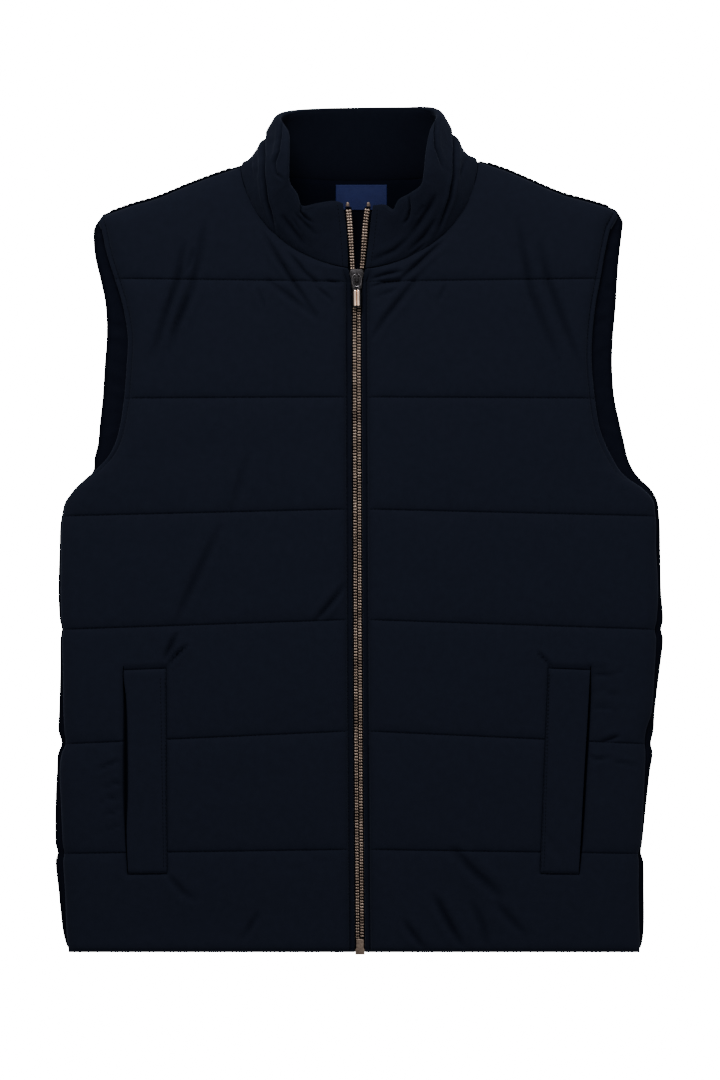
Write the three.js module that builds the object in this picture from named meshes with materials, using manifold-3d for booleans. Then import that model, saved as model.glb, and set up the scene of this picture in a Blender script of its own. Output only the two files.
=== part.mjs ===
// A padded, quilted vest with a stand collar, a zip front and two welt pockets, laid flat on its back.
// Millimetres. X runs across the vest, Y from hem to collar, Z up from the surface that it lies on.
// The origin is on that surface, under the middle of the vest. Right and left are the wearer's: right is -X.
import * as THREE from "three";
import { mergeVertices } from "three/addons/utils/BufferGeometryUtils.js";
import Module from "manifold-3d";

const wasm = await Module();
wasm.setup();

// Layers, from the surface up
const GAP = 0.3;
const BACK_THICKNESS = 9;
const FRONT_BASE = BACK_THICKNESS + GAP;
const CREST_THICKNESS = 12;
const SEAM_THICKNESS = 6.2;
const EDGE_THICKNESS = 2.2;
const CHANNEL_FULLNESS = 3.2;

// Hem, neck and shoulders
const HEM_Y = -391.5;
const NECK = { y: 338, halfWidth: 110.5, frontDrop: 96, backDrop: 15, roundness: 1.8 };
// Behind the shoulders the neck seam draws in, between two turns round the neck.
const NECK_TUCK = { from: 88, to: 144, depth: 8 };
const SHOULDER = { neckX: 111, tipX: 238, neckY: 339.5, rightTipY: 294.8, leftTipY: 297.6, bow: 1.6 };
const BACK_SHOULDER_INSET = 9;
const FRONT_SHOULDER_INSET = 2.4;
const FRONT_FOOT_INSET = 1.2;
const HEM_CORNER = { size: 7, innerShare: 0.3, lowShare: 0.25 };
const HEM_RISE = 9;
// The rows above the last seam, and how the neck edge is shared out among them
const YOKE = { rows: 12, spread: 0.9, lastTurn: 87, shoulderRise: 4 };

// Quilting seams across a front: height at the zip and at the side
const SEAMS = [
  { zip: HEM_Y, side: HEM_Y },
  { zip: -295.7, side: -299.5 },
  { zip: -186, side: -198 },
  { zip: -82.8, side: -92 },
  { zip: 19.5, side: 13 },
  { zip: 123.2, side: 122.2 },
  { zip: 230.2, side: 233 },
];

// Side and armhole edges at each height: the fronts' folded edge, and the back's edge that shows beyond it
const SIDES = [
  { y: -391.5, frontRight: -269.7, frontLeft: 260.2, backRight: -270.2, backLeft: 261.2 },
  { y: -377, frontRight: -271.2, frontLeft: 260.1, backRight: -274.5, backLeft: 263.7 },
  { y: -363, frontRight: -272, frontLeft: 259.6, backRight: -276.7, backLeft: 264.6 },
  { y: -335, frontRight: -273, frontLeft: 259, backRight: -279.5, backLeft: 264.4 },
  { y: -307, frontRight: -274.6, frontLeft: 259.2, backRight: -282.3, backLeft: 263.9 },
  { y: -299.5, frontRight: -273.4, frontLeft: 258.6, backRight: -280.2, backLeft: 261.6 },
  { y: -291, frontRight: -275, frontLeft: 261.2, backRight: -282.3, backLeft: 262.8 },
  { y: -251, frontRight: -276.9, frontLeft: 263.7, backRight: -282.3, backLeft: 267 },
  { y: -223, frontRight: -278, frontLeft: 264.8, backRight: -281, backLeft: 270.2 },
  { y: -207, frontRight: -276, frontLeft: 265.4, backRight: -280, backLeft: 272.6 },
  { y: -198, frontRight: -272.4, frontLeft: 264.6, backRight: -276.5, backLeft: 270.9 },
  { y: -186, frontRight: -273.6, frontLeft: 265.8, backRight: -279.7, backLeft: 273.4 },
  { y: -167, frontRight: -274.5, frontLeft: 271.4, backRight: -279, backLeft: 274.6 },
  { y: -130, frontRight: -275.1, frontLeft: 273.9, backRight: -278, backLeft: 279 },
  { y: -101, frontRight: -275.6, frontLeft: 275.3, backRight: -277.8, backLeft: 282.3 },
  { y: -92, frontRight: -274.6, frontLeft: 273.9, backRight: -276.4, backLeft: 280.4 },
  { y: -83, frontRight: -276.2, frontLeft: 275.8, backRight: -278.4, backLeft: 282.3 },
  { y: -56, frontRight: -277.1, frontLeft: 277.2, backRight: -279.7, backLeft: 280.4 },
  { y: -15, frontRight: -276.7, frontLeft: 275.2, backRight: -278.6, backLeft: 279.6 },
  { y: 4, frontRight: -276, frontLeft: 275.4, backRight: -278, backLeft: 279.3 },
  { y: 15, frontRight: -274.6, frontLeft: 274.4, backRight: -276.2, backLeft: 278.4 },
  { y: 28, frontRight: -271.4, frontLeft: 272.4, backRight: -272.6, backLeft: 276.6 },
  { y: 39, frontRight: -263.6, frontLeft: 262.6, backRight: -262.4, backLeft: 270.2 },
  { y: 48, frontRight: -254, frontLeft: 249, backRight: -252.6, backLeft: 260.6 },
  { y: 56, frontRight: -244.6, frontLeft: 241, backRight: -247, backLeft: 254.4 },
  { y: 67, frontRight: -233.9, frontLeft: 234.6, backRight: -246.2, backLeft: 249.4 },
  { y: 80, frontRight: -226.5, frontLeft: 228, backRight: -243, backLeft: 246.4 },
  { y: 98, frontRight: -221.6, frontLeft: 222, backRight: -241.3, backLeft: 242.3 },
  { y: 123, frontRight: -218, frontLeft: 218.3, backRight: -238.6, backLeft: 237 },
  { y: 153, frontRight: -215.6, frontLeft: 215.5, backRight: -236.7, backLeft: 234.9 },
  { y: 179, frontRight: -214.6, frontLeft: 215.8, backRight: -234.8, backLeft: 235.7 },
  { y: 209, frontRight: -219.4, frontLeft: 219, backRight: -235.8, backLeft: 238.3 },
  { y: 232, frontRight: -226.4, frontLeft: 223.2, backRight: -240.4, backLeft: 239.6 },
  { y: 256, frontRight: -233.9, frontLeft: 227.4, backRight: -245.8, backLeft: 241.6 },
  { y: 279, frontRight: -238.8, frontLeft: 232.6, backRight: -246.9, backLeft: 244.4 },
  { y: 286, frontRight: -241.2, frontLeft: 236.6, backRight: -244.6, backLeft: 245 },
  { y: 291, frontRight: -239, frontLeft: 239, backRight: -241.5, backLeft: 242.6 },
];

// Largest folds, as soft troughs from one point to another
const FOLDS = [
  { x0: -189, y0: 292, x1: -192, y1: 232, width: 9, depth: 1.8 },
  { x0: -192, y0: 234, x1: -214, y1: 168, width: 8, depth: 2.2 },
  { x0: -178, y0: 214, x1: -196, y1: 140, width: 10, depth: 1.2 },
  { x0: -150, y0: -10, x1: -172, y1: -84, width: 9, depth: 2 },
  { x0: -172, y0: -84, x1: -178, y1: -122, width: 8, depth: 2.2 },
  { x0: -14, y0: -48, x1: -44, y1: -80, width: 7, depth: 1.8 },
  { x0: 164, y0: 292, x1: 172, y1: 236, width: 9, depth: 1.8 },
  { x0: 168, y0: 236, x1: 202, y1: 132, width: 8, depth: 2.6 },
  { x0: 184, y0: 222, x1: 205, y1: 128, width: 7, depth: 1.4 },
  { x0: 76, y0: -330, x1: 94, y1: -388, width: 9, depth: 2.6 },
  { x0: 108, y0: -306, x1: 164, y1: -372, width: 11, depth: 2 },
  { x0: -84, y0: 236, x1: -52, y1: 190, width: 8, depth: 1.8 },
  { x0: 56, y0: 214, x1: 14, y1: 178, width: 8, depth: 1.8 },
];

// Zip
const ZIP = {
  halfOpening: 4.7,
  topY: 236,
  tapeThickness: 1.2,
  chainHalfWidth: 3.8,
  chainThickness: 2.4,
  boxWidth: 9,
  boxLength: 13,
  boxFoot: 6,
  boxBelowHem: 1.9,
  boxShoulder: { width: 1, height: 1.2 },
  boxCrown: 0.4,
  stopLength: 4,
  stopTaper: 0.8,
  stopInset: 0.4,
  seamInset: 0.2,
  rows: 12,
};
// The closed zip's line, from the hem to the slider
const ZIP_LINE = [
  { y: HEM_Y, x: 0.6 },
  { y: -235, x: -0.7 },
  { y: -78, x: -1.6 },
  { y: 80, x: -2.2 },
  { y: ZIP.topY, x: -2.5 },
];
// The two halves above the slider: the tape's outer edge, the teeth's inner edge and the tape's height
const OPEN_ZIP = [
  { y: 236, rightEdge: -6.8, rightTeeth: -2.7, leftEdge: 1.8, leftTeeth: -2.3, z: 9.7 },
  { y: 243, rightEdge: -8.9, rightTeeth: -4.2, leftEdge: 4.9, leftTeeth: 0.3, z: 9.7 },
  { y: 255, rightEdge: -9.7, rightTeeth: -5, leftEdge: 6.6, leftTeeth: 1.1, z: 12 },
  { y: 270, rightEdge: -10.6, rightTeeth: -5.8, leftEdge: 8.1, leftTeeth: 2, z: 15 },
  { y: 285, rightEdge: -11.8, rightTeeth: -7.2, leftEdge: 8.7, leftTeeth: 3.5, z: 18 },
  { y: 299, rightEdge: -13.2, rightTeeth: -8.8, leftEdge: 10.9, leftTeeth: 6.4, z: 20.5 },
];
const SLIDER = { y: 232.6, length: 18.6, topWidth: 13.4, bottomWidth: 9, plate: 2.4 };
// The slider's outline, as steps in from its ends and sides
const SLIDER_CORNERS = { foot: 1, footRise: 1.2, waist: 0.6, crownDrop: 4, crownStep: 0.8, crownInset: 2.6 };
const BRIDGE = { y: 233.4, length: 8.4, width: 2.6, bar: 1.6, wall: 1.6, rise: 4.6, chamfer: 1.4, root: 0.6 };
const PULL = { pivotHeight: 1.5, pin: 1.5, armGap: 0.5, arm: 1.2, armReach: 10.4 };
// The pull's body, away from its hinge: two bars side by side with a groove between them
const PULL_BODY = [
  { along: 9.4, halfWidth: 3, halfThickness: 1.1 },
  { along: 10.6, halfWidth: 3.9, halfThickness: 1.9 },
  { along: 13, halfWidth: 4.1, halfThickness: 2.1 },
  { along: 23.6, halfWidth: 4.1, halfThickness: 2.1 },
  { along: 25.9, halfWidth: 3.9, halfThickness: 1.9 },
  { along: 27, halfWidth: 3, halfThickness: 1.1 },
];
// Half of the pull's section, from the groove on its face to the groove on its back, as shares of the half sizes
const PULL_SECTION = [[0, 0.5], [0.16, 0.92], [0.5, 1], [0.84, 0.86], [1, 0.4], [1, -0.4], [0.84, -0.86], [0.5, -1],
  [0.16, -0.92], [0, -0.5]];

// Pocket welts: the stitched edge and the free edge, top and bottom
const WELTS = [
  { side: "right", top: -128.5, bottom: -317.5, sewnTop: -179.2, sewnBottom: -178.2, freeTop: -216.4, freeBottom: -214.7 },
  { side: "left", top: -128.5, bottom: -317.5, sewnTop: 175.2, sewnBottom: 167.6, freeTop: 213.6, freeBottom: 203.4 },
];
const WELT_BED = 7.6;
const WELT_THICKNESS = 5;
const WELT_EDGE = 1.6;
// The welt's fullness from its sewn edge to its free edge
const WELT_SWELL = [0, 0.75, 1, 0.95, 0.55];
// Below a pocket its edges run on straight for a little way.
const WELT_RUN_ON = 24;
const POCKET_SLIT = { width: 3.6, bed: 5 };

// Gathers along the back's shoulder edges
const GATHERS = {
  waves: 21, stepsPerWave: 4, depth: 1.2, lift: 1.6, from: 0.08, to: 0.925,
  foot: 1.6, swellZ: 3.6, shoulder: 1.8, top: 8.8, innerSlope: 1.4, innerZ: 8,
};

const LABEL = { right: -21.9, left: 25.6, top: 320.6, bottom: 297, thickness: 0.8 };

// Collar sections from the front edge round to the centre back. Turn is the angle round the neck:
// 0 at the zip, 90 at the shoulder, 180 at the centre back. Belly and top are on the wall's middle.
const COLLAR_WALL = 8;
const COLLAR_SEAM_WALL = 4.6;
const COLLAR_EDGE_INSET = 3.1;
// How far inside the neck seam the collar starts, at the front and at the back
const COLLAR_MARGIN = { front: 3, back: 0.9, from: 80, over: 30 };
const COLLAR_RIGHT = [
  { turn: 7, baseZ: 13, bellyX: -11.6, bellyY: 272, bellyZ: 17.5, topX: -14.8, topY: 301.5, topZ: 22 },
  { turn: 11, baseZ: 13.2, bellyX: -20, bellyY: 272, bellyZ: 18, topX: -23, topY: 304, topZ: 23 },
  { turn: 17, baseZ: 13.5, bellyX: -33, bellyY: 273, bellyZ: 20, topX: -37, topY: 302, topZ: 26 },
  { turn: 28, baseZ: 14, bellyX: -53, bellyY: 277, bellyZ: 24, topX: -53, topY: 296.5, topZ: 32 },
  { turn: 36, baseZ: 14.2, bellyX: -63, bellyY: 284, bellyZ: 26, topX: -58, topY: 307, topZ: 37 },
  { turn: 47, baseZ: 14.5, bellyX: -75, bellyY: 295, bellyZ: 29, topX: -65, topY: 317, topZ: 42 },
  { turn: 64, baseZ: 14, bellyX: -86, bellyY: 315, bellyZ: 31, topX: -67, topY: 329.5, topZ: 47 },
  { turn: 78, baseZ: 13, bellyX: -89, bellyY: 335, bellyZ: 30, topX: -67, topY: 347.5, topZ: 49 },
  { turn: 90, baseZ: 12, bellyX: -89, bellyY: 345, bellyZ: 26, topX: -67.5, topY: 364, topZ: 45 },
  { turn: 104, baseZ: 8, bellyX: -87, bellyY: 359, bellyZ: 18, topX: -75, topY: 379.5, topZ: 33 },
  { turn: 122, baseZ: 5.4, bellyX: -77, bellyY: 365, bellyZ: 8, topX: -70, topY: 386.4, topZ: 17 },
  { turn: 145, baseZ: 4, bellyX: -44, bellyY: 359, bellyZ: 4, topX: -40, topY: 388.5, topZ: 8.5 },
  { turn: 180, baseZ: 3.9, bellyX: 0, bellyY: 356, bellyZ: 3.9, topX: 0, topY: 389.5, topZ: 6.5 },
];
const COLLAR_LEFT = [
  { turn: 4, baseZ: 13, bellyX: 9.3, bellyY: 272, bellyZ: 17.5, topX: 12.4, topY: 297.5, topZ: 22 },
  { turn: 10, baseZ: 13.2, bellyX: 21, bellyY: 272, bellyZ: 19, topX: 23, topY: 298, topZ: 25 },
  { turn: 17, baseZ: 13.5, bellyX: 34, bellyY: 273, bellyZ: 20, topX: 32, topY: 293.5, topZ: 28 },
  { turn: 22, baseZ: 13.8, bellyX: 42, bellyY: 275, bellyZ: 22, topX: 37, topY: 302, topZ: 31 },
  { turn: 30, baseZ: 14, bellyX: 53, bellyY: 279, bellyZ: 24, topX: 46, topY: 307, topZ: 35 },
  { turn: 47, baseZ: 14.5, bellyX: 73, bellyY: 295, bellyZ: 29, topX: 58.5, topY: 315.5, topZ: 43 },
  { turn: 64, baseZ: 14, bellyX: 85, bellyY: 315, bellyZ: 31, topX: 62, topY: 329, topZ: 48 },
  { turn: 78, baseZ: 13, bellyX: 88, bellyY: 335, bellyZ: 30, topX: 64, topY: 347.5, topZ: 49 },
  { turn: 90, baseZ: 12, bellyX: 88, bellyY: 348, bellyZ: 26, topX: 67.5, topY: 366, topZ: 45 },
  { turn: 104, baseZ: 8, bellyX: 87, bellyY: 361, bellyZ: 18, topX: 74, topY: 381, topZ: 33 },
  { turn: 122, baseZ: 5.4, bellyX: 76, bellyY: 368, bellyZ: 8, topX: 67, topY: 389, topZ: 16 },
  { turn: 145, baseZ: 4, bellyX: 43, bellyY: 360, bellyZ: 4, topX: 40, topY: 389.8, topZ: 8 },
];
// The same rows as one table, from the right front edge round the back to the left one
const COLLAR = [
  ...COLLAR_RIGHT,
  ...COLLAR_LEFT.map((row) => ({ ...row, turn: 360 - row.turn })).reverse(),
];
const COLLAR_STEPS = { around: 60, up: [0, 0.05, 0.15, 0.32, 0.5, 0.68, 0.85, 1] };
// The wall thickens over its lowest part, thins at its top edge, and ends in a narrower tip.
const COLLAR_SHAPE = { fullFrom: 0.2, topShare: 0.86, tipShare: 0.22 };

const clamp01 = (t) => Math.min(1, Math.max(0, t));
const mix = (a, b, t) => a + (b - a) * t;
const dome = (t) => Math.sqrt(Math.max(0, 1 - (1 - clamp01(t)) ** 2));

// Reads a table's column at a place between its rows, along a smooth curve through them.
function read(table, key, place, column) {
  let i = 0;
  while (i < table.length - 2 && table[i + 1][key] < place) i += 1;
  const [p1, p2] = [table[i], table[i + 1]];
  const p0 = table[Math.max(0, i - 1)];
  const p3 = table[Math.min(table.length - 1, i + 2)];
  const span = p2[key] - p1[key];
  const t = clamp01((place - p1[key]) / span);
  const slope1 = ((p2[column] - p0[column]) / (p2[key] - p0[key])) * span;
  const slope2 = ((p3[column] - p1[column]) / (p3[key] - p1[key])) * span;
  const [t2, t3] = [t * t, t * t * t];
  return (
    p1[column] * (2 * t3 - 3 * t2 + 1) + slope1 * (t3 - 2 * t2 + t) +
    p2[column] * (3 * t2 - 2 * t3) + slope2 * (t3 - t2)
  );
}

// Triangle soup to geometry
class Shell {
  constructor() {
    this.positions = [];
  }

  triangle(a, b, c) {
    this.positions.push(...a, ...b, ...c);
  }

  quad(a, b, c, d) {
    this.triangle(a, b, c);
    this.triangle(a, c, d);
  }

  geometry() {
    const made = new THREE.BufferGeometry();
    made.setAttribute("position", new THREE.Float32BufferAttribute(this.positions, 3));
    return made;
  }
}

// A closed body through rings of equal length, with flat ends. Rings turn anticlockwise seen from the first end.
function loft(rings) {
  const shell = new Shell();
  for (let i = 0; i < rings.length - 1; i += 1) {
    const [a, b] = [rings[i], rings[i + 1]];
    for (let j = 0; j < a.length; j += 1) {
      const k = (j + 1) % a.length;
      shell.quad(a[j], b[j], b[k], a[k]);
    }
  }
  const zip = (ring, flip) => {
    for (let low = 0, high = ring.length - 1; high - low > 1; low += 1, high -= 1) {
      const corners = [ring[low], ring[low + 1], ring[high - 1], ring[high]];
      if (high - low === 2) corners.splice(2, 1);
      if (flip) corners.reverse();
      if (corners.length === 3) shell.triangle(...corners);
      else shell.quad(...corners);
    }
  };
  zip(rings[0], false);
  zip(rings.at(-1), true);
  return shell.geometry();
}

// A flat polygon at one height, facing up or down. The outline runs anticlockwise seen from above.
function flatFace(shell, outline, facingUp) {
  const contour = outline.map(([x, y]) => new THREE.Vector2(x, y));
  const triangles = THREE.ShapeUtils.triangulateShape(contour, []);
  const area = ([a, b, c]) => contour[b].clone().sub(contour[a]).cross(contour[c].clone().sub(contour[a]));
  const turnsUp = triangles.reduce((sum, triangle) => sum + area(triangle), 0) > 0;
  for (const triangle of triangles) {
    const corners = triangle.map((i) => outline[i]);
    if (turnsUp !== facingUp) corners.reverse();
    shell.triangle(...corners);
  }
}

// The same outline moved in by a distance. The outline runs anticlockwise.
function inset(outline, distance) {
  return outline.map(([x, y], i) => {
    const [px, py] = outline[(i + outline.length - 1) % outline.length];
    const [nx, ny] = outline[(i + 1) % outline.length];
    const length = Math.hypot(nx - px, ny - py);
    return [x - ((ny - py) / length) * distance, y + ((nx - px) / length) * distance];
  });
}

const zipX = (y) => read(ZIP_LINE, "y", y, "x");

// The neck seam round the front and the back, seen from above
function neckPoint(turn, margin) {
  const angle = THREE.MathUtils.degToRad(turn);
  const tucked = clamp01((turn - NECK_TUCK.from) / (NECK_TUCK.to - NECK_TUCK.from));
  const across = Math.sin(angle) ** (2 / NECK.roundness) * (NECK.halfWidth - margin)
    - NECK_TUCK.depth * Math.sin(Math.PI * tucked);
  const cosine = Math.cos(angle);
  const down = cosine > 0
    ? cosine ** (2 / NECK.roundness) * (NECK.frontDrop - margin)
    : -cosine * NECK.backDrop - margin * (1 - (1 + cosine) ** 2);
  return [across, NECK.y - down];
}

// The shoulder line rises a little near the neck and dips near the tip.
const shoulderBow = (share) => Math.sin(2 * Math.PI * share) * SHOULDER.bow;

// The shoulder line, as the outermost edge of the back
function shoulderPoint(side, share) {
  const tipY = side < 0 ? SHOULDER.rightTipY : SHOULDER.leftTipY;
  return [
    side * mix(SHOULDER.neckX, SHOULDER.tipX, share),
    mix(SHOULDER.neckY, tipY, share) + shoulderBow(share),
  ];
}

function foldDepth(x, y) {
  let depth = 0;
  for (const fold of FOLDS) {
    const [dx, dy] = [fold.x1 - fold.x0, fold.y1 - fold.y0];
    const along = ((x - fold.x0) * dx + (y - fold.y0) * dy) / (dx * dx + dy * dy);
    const off = Math.hypot(x - fold.x0 - dx * clamp01(along), y - fold.y0 - dy * clamp01(along));
    const taper = dome(1 - Math.abs(2 * clamp01(along) - 1));
    depth += fold.depth * (0.35 + 0.65 * taper) * Math.exp(-((off / fold.width) ** 2) * 2);
  }
  return depth;
}

// Heights along a channel, from one seam to the next. A pocket's end has a row of its own in two channels.
const CHANNEL_STEPS = [0, 0.035, 0.1, 0.22, 0.4, 0.6, 0.78, 0.9, 0.965];
const POCKET_ROWS = [
  { channel: 0, step: 6, height: 0.795 },
  { channel: 2, step: 5, height: 0.626 },
];
const [POCKET_BOTTOM, POCKET_TOP] = POCKET_ROWS.map((row) => row.channel * CHANNEL_STEPS.length + row.step);
// Places across a front: zip to the welt's sewn edge, then its free edge, then the pocket's slit, then the side
const ACROSS_FRONT = [0, 0.02, 0.05, 0.1, 0.17, 0.26, 0.36, 0.47, 0.58, 0.69, 0.8, 0.9, 0.965];
const ACROSS_WELT = [0, 0.12, 0.5, 0.88];
const ACROSS_SIDE = [0, 0.16, 0.36, 0.58, 0.78, 0.92, 1];
const SEWN_COLUMN = ACROSS_FRONT.length;
const FREE_COLUMN = SEWN_COLUMN + ACROSS_WELT.length;
const ZIP_LIP = { width: 6, thickness: 3.6, rise: 22 };
const SIDE_RISE = 16;

// How far across a front, from zip to side, the welt's edge lies at a height. Above the pocket it stays so.
function weltShare(side, edge, y) {
  const welt = WELTS[side < 0 ? 0 : 1];
  const level = Math.min(Math.max(y, welt.bottom - WELT_RUN_ON), welt.top);
  const x = mix(welt[edge + "Bottom"], welt[edge + "Top"], (level - welt.bottom) / (welt.top - welt.bottom));
  const inner = zipX(level) + side * ZIP.halfOpening;
  return (x - inner) / (read(SIDES, "y", level, side < 0 ? "frontRight" : "frontLeft") - inner);
}

// Where a front's columns lie across a row of some width, from zip to side
function shares(side, y, rowWidth) {
  const sewn = weltShare(side, "sewn", y);
  const free = weltShare(side, "free", y);
  const slit = free + POCKET_SLIT.width / rowWidth;
  return [
    ...ACROSS_FRONT.map((t) => mix(0, sewn, t)),
    ...ACROSS_WELT.map((t) => mix(sewn, free, t)),
    free,
    ...ACROSS_SIDE.map((t) => mix(slit, 1, t)),
  ];
}

// A front's upper surface, as rows from hem to shoulder. Each row runs from the zip to the side.
function frontRows(side) {
  const column = side < 0 ? "frontRight" : "frontLeft";
  const zipEdge = (y) => zipX(y) + side * ZIP.halfOpening;
  const rows = [];
  const addRow = (inner, outer, fullness, hem, onNeck, upYoke = 0) => {
    const inPocket = rows.length >= POCKET_BOTTOM && rows.length <= POCKET_TOP;
    rows.push(shares(side, outer[1], Math.abs(outer[0] - inner[0])).map((share, i) => {
      const x = mix(inner[0], outer[0], share);
      const alongShoulder = clamp01((Math.abs(x) - SHOULDER.neckX) / (SHOULDER.tipX - SHOULDER.neckX));
      const y = mix(inner[1], outer[1], share) + shoulderBow(alongShoulder) * upYoke ** 3;
      const fromInner = Math.hypot(x - inner[0], y - inner[1]);
      const full = mix(SEAM_THICKNESS, CREST_THICKNESS, fullness) - foldDepth(x, y);
      let thickness = onNeck
        ? mix(SEAM_THICKNESS, full, dome(fromInner / ZIP_LIP.rise))
        : mix(ZIP_LIP.thickness, full, dome((fromInner - ZIP_LIP.width) / ZIP_LIP.rise));
      thickness = mix(EDGE_THICKNESS, thickness, dome(Math.abs(outer[0] - x) / SIDE_RISE));
      thickness = mix(EDGE_THICKNESS, thickness, hem);
      if (inPocket && i >= SEWN_COLUMN && i <= FREE_COLUMN) thickness = WELT_BED;
      if (inPocket && i === FREE_COLUMN + 1) thickness = POCKET_SLIT.bed;
      return [x, y, FRONT_BASE + thickness];
    }));
  };
  for (let s = 0; s < SEAMS.length - 1; s += 1) {
    CHANNEL_STEPS.forEach((evenStep, i) => {
      const pocketRow = POCKET_ROWS.find((row) => row.channel === s && row.step === i);
      const step = pocketRow ? pocketRow.height : evenStep;
      const innerY = mix(SEAMS[s].zip, SEAMS[s + 1].zip, step);
      const outerY = mix(SEAMS[s].side, SEAMS[s + 1].side, step);
      const fullness = s === 0 && step < 0.5 ? 1 : 1 - Math.abs(2 * step - 1) ** CHANNEL_FULLNESS;
      const hem = s === 0 ? dome((innerY - HEM_Y) / HEM_RISE) : 1;
      addRow([zipEdge(innerY), innerY], [read(SIDES, "y", outerY, column), outerY], fullness, hem, false);
    });
  }
  // Above the last seam the rows fan out from the neck edge to the armhole.
  const yoke = SEAMS.at(-1);
  const tip = shoulderPoint(side, 1)[1] - FRONT_SHOULDER_INSET;
  for (let k = 0; k <= YOKE.rows; k += 1) {
    const share = k / YOKE.rows;
    const outerY = mix(yoke.side, tip, share);
    const outer = [read(SIDES, "y", outerY, column), outerY];
    const around = ((k - 1) / (YOKE.rows - 1)) ** YOKE.spread;
    const turn = mix(side < 0 ? COLLAR_RIGHT[0].turn : COLLAR_LEFT[0].turn, YOKE.lastTurn, around);
    const [neckX, neckY] = neckPoint(turn, 0);
    const inner = k === 0 ? [zipEdge(yoke.zip), yoke.zip] : [side * neckX, neckY];
    const fullness = share < 0.5 ? 1 - Math.abs(2 * share - 1) ** CHANNEL_FULLNESS : 1;
    addRow(inner, outer, fullness, dome((1 - share) * YOKE.shoulderRise), k > 0, share);
  }
  return rows;
}

// A body over a flat foot, from rows of points on its upper surface
function paddedSlab(rows, side, base, footInset) {
  const shell = new Shell();
  const [last, end] = [rows.length - 1, rows[0].length - 1];
  for (let i = 0; i < last; i += 1) {
    for (let j = 0; j < end; j += 1) {
      const corners = [rows[i][j], rows[i][j + 1], rows[i + 1][j + 1], rows[i + 1][j]];
      if (side < 0) corners.reverse();
      shell.quad(...corners);
    }
  }
  const rim = [
    ...rows[0],
    ...rows.slice(1).map((row) => row[end]),
    ...rows[last].slice(0, end).reverse(),
    ...rows.slice(1, last).map((row) => row[0]).reverse(),
  ];
  if (side < 0) rim.reverse();
  const foot = inset(rim, footInset).map(([x, y]) => [x, y, base]);
  rim.forEach((point, i) => {
    const next = (i + 1) % rim.length;
    shell.quad(foot[i], foot[next], rim[next], point);
  });
  flatFace(shell, foot, false);
  return shell.geometry();
}

const frontPanel = (side) => paddedSlab(frontRows(side), side, FRONT_BASE, FRONT_FOOT_INSET);

// A welt lies in the bed that the front leaves for it, on the front's own points moved out.
function pocketWelt(side) {
  const bed = FRONT_BASE + WELT_BED + GAP;
  const rows = frontRows(side).slice(POCKET_BOTTOM, POCKET_TOP + 1).map((row, i, all) => {
    const fromEnd = Math.min(i, all.length - 1 - i) / 2;
    return row.slice(SEWN_COLUMN, FREE_COLUMN + 1).map(([x, y], j) => {
      const rise = mix(WELT_EDGE, WELT_THICKNESS, WELT_SWELL[j] * dome(fromEnd));
      return [x, y, bed + rise];
    });
  });
  return paddedSlab(rows, side, bed, 0);
}

// The back: a flat padded wall whose round edge swells between the quilting seams.
const BACK_ROUND = [
  { inset: 4.2, z: 0 },
  { inset: 1.1, z: 1.4 },
  { inset: 0, z: 4.5 },
  { inset: 1.1, z: 7.6 },
  { inset: 4.2, z: BACK_THICKNESS },
];
// The back stops this far outside the neck seam.
const BACK_NECK_MARGIN = -1.6;
// The part of each shoulder line that the back's own edge follows
const BACK_SHOULDER = { from: 0.07, to: 0.93, steps: 10 };
const BACK_NECK_TURNS = [96, 108, 122, 140, 160, 180];

function backOutline() {
  const outline = [];
  const hemSteps = 6;
  const [right, left] = [SIDES[0].backRight, SIDES[0].backLeft];
  for (let k = 0; k <= hemSteps; k += 1) {
    outline.push([mix(right + HEM_CORNER.size, left - HEM_CORNER.size, k / hemSteps), HEM_Y]);
  }
  const cornerIn = HEM_CORNER.size * HEM_CORNER.innerShare;
  const cornerY = HEM_Y + HEM_CORNER.size * HEM_CORNER.lowShare;
  outline.push([left - cornerIn, cornerY]);
  const rowStep = 9.5;
  const belowTip = 4;
  const top = SIDES.at(-1).y - belowTip;
  const heights = [];
  for (let y = HEM_Y + HEM_CORNER.size; y < top; y += rowStep) heights.push(y);
  heights.push(top);
  for (const y of heights) outline.push([read(SIDES, "y", y, "backLeft"), y]);
  const shoulder = (side, share) => {
    const [x, y] = shoulderPoint(side, share);
    return [x, y - BACK_SHOULDER_INSET];
  };
  const shoulderShares = Array.from({ length: BACK_SHOULDER.steps + 1 }, (_, k) =>
    mix(BACK_SHOULDER.from, BACK_SHOULDER.to, k / BACK_SHOULDER.steps));
  for (const share of [...shoulderShares].reverse()) outline.push(shoulder(1, share));
  const neck = BACK_NECK_TURNS.map((turn) => neckPoint(turn, BACK_NECK_MARGIN));
  outline.push(...neck);
  for (const [x, y] of neck.slice(0, -1).reverse()) outline.push([-x, y]);
  for (const share of shoulderShares) outline.push(shoulder(-1, share));
  for (const y of heights.reverse()) outline.push([read(SIDES, "y", y, "backRight"), y]);
  outline.push([right + cornerIn, cornerY]);
  return outline;
}

function backPanel() {
  const outline = backOutline();
  const rings = BACK_ROUND.map((step) => inset(outline, step.inset).map(([x, y]) => [x, y, step.z]));
  const shell = new Shell();
  for (let i = 0; i < rings.length - 1; i += 1) {
    rings[i].forEach((point, j) => {
      const next = (j + 1) % outline.length;
      shell.quad(point, rings[i][next], rings[i + 1][next], rings[i + 1][j]);
    });
  }
  flatFace(shell, rings[0], false);
  flatFace(shell, rings.at(-1), true);
  return shell.geometry();
}

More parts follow.
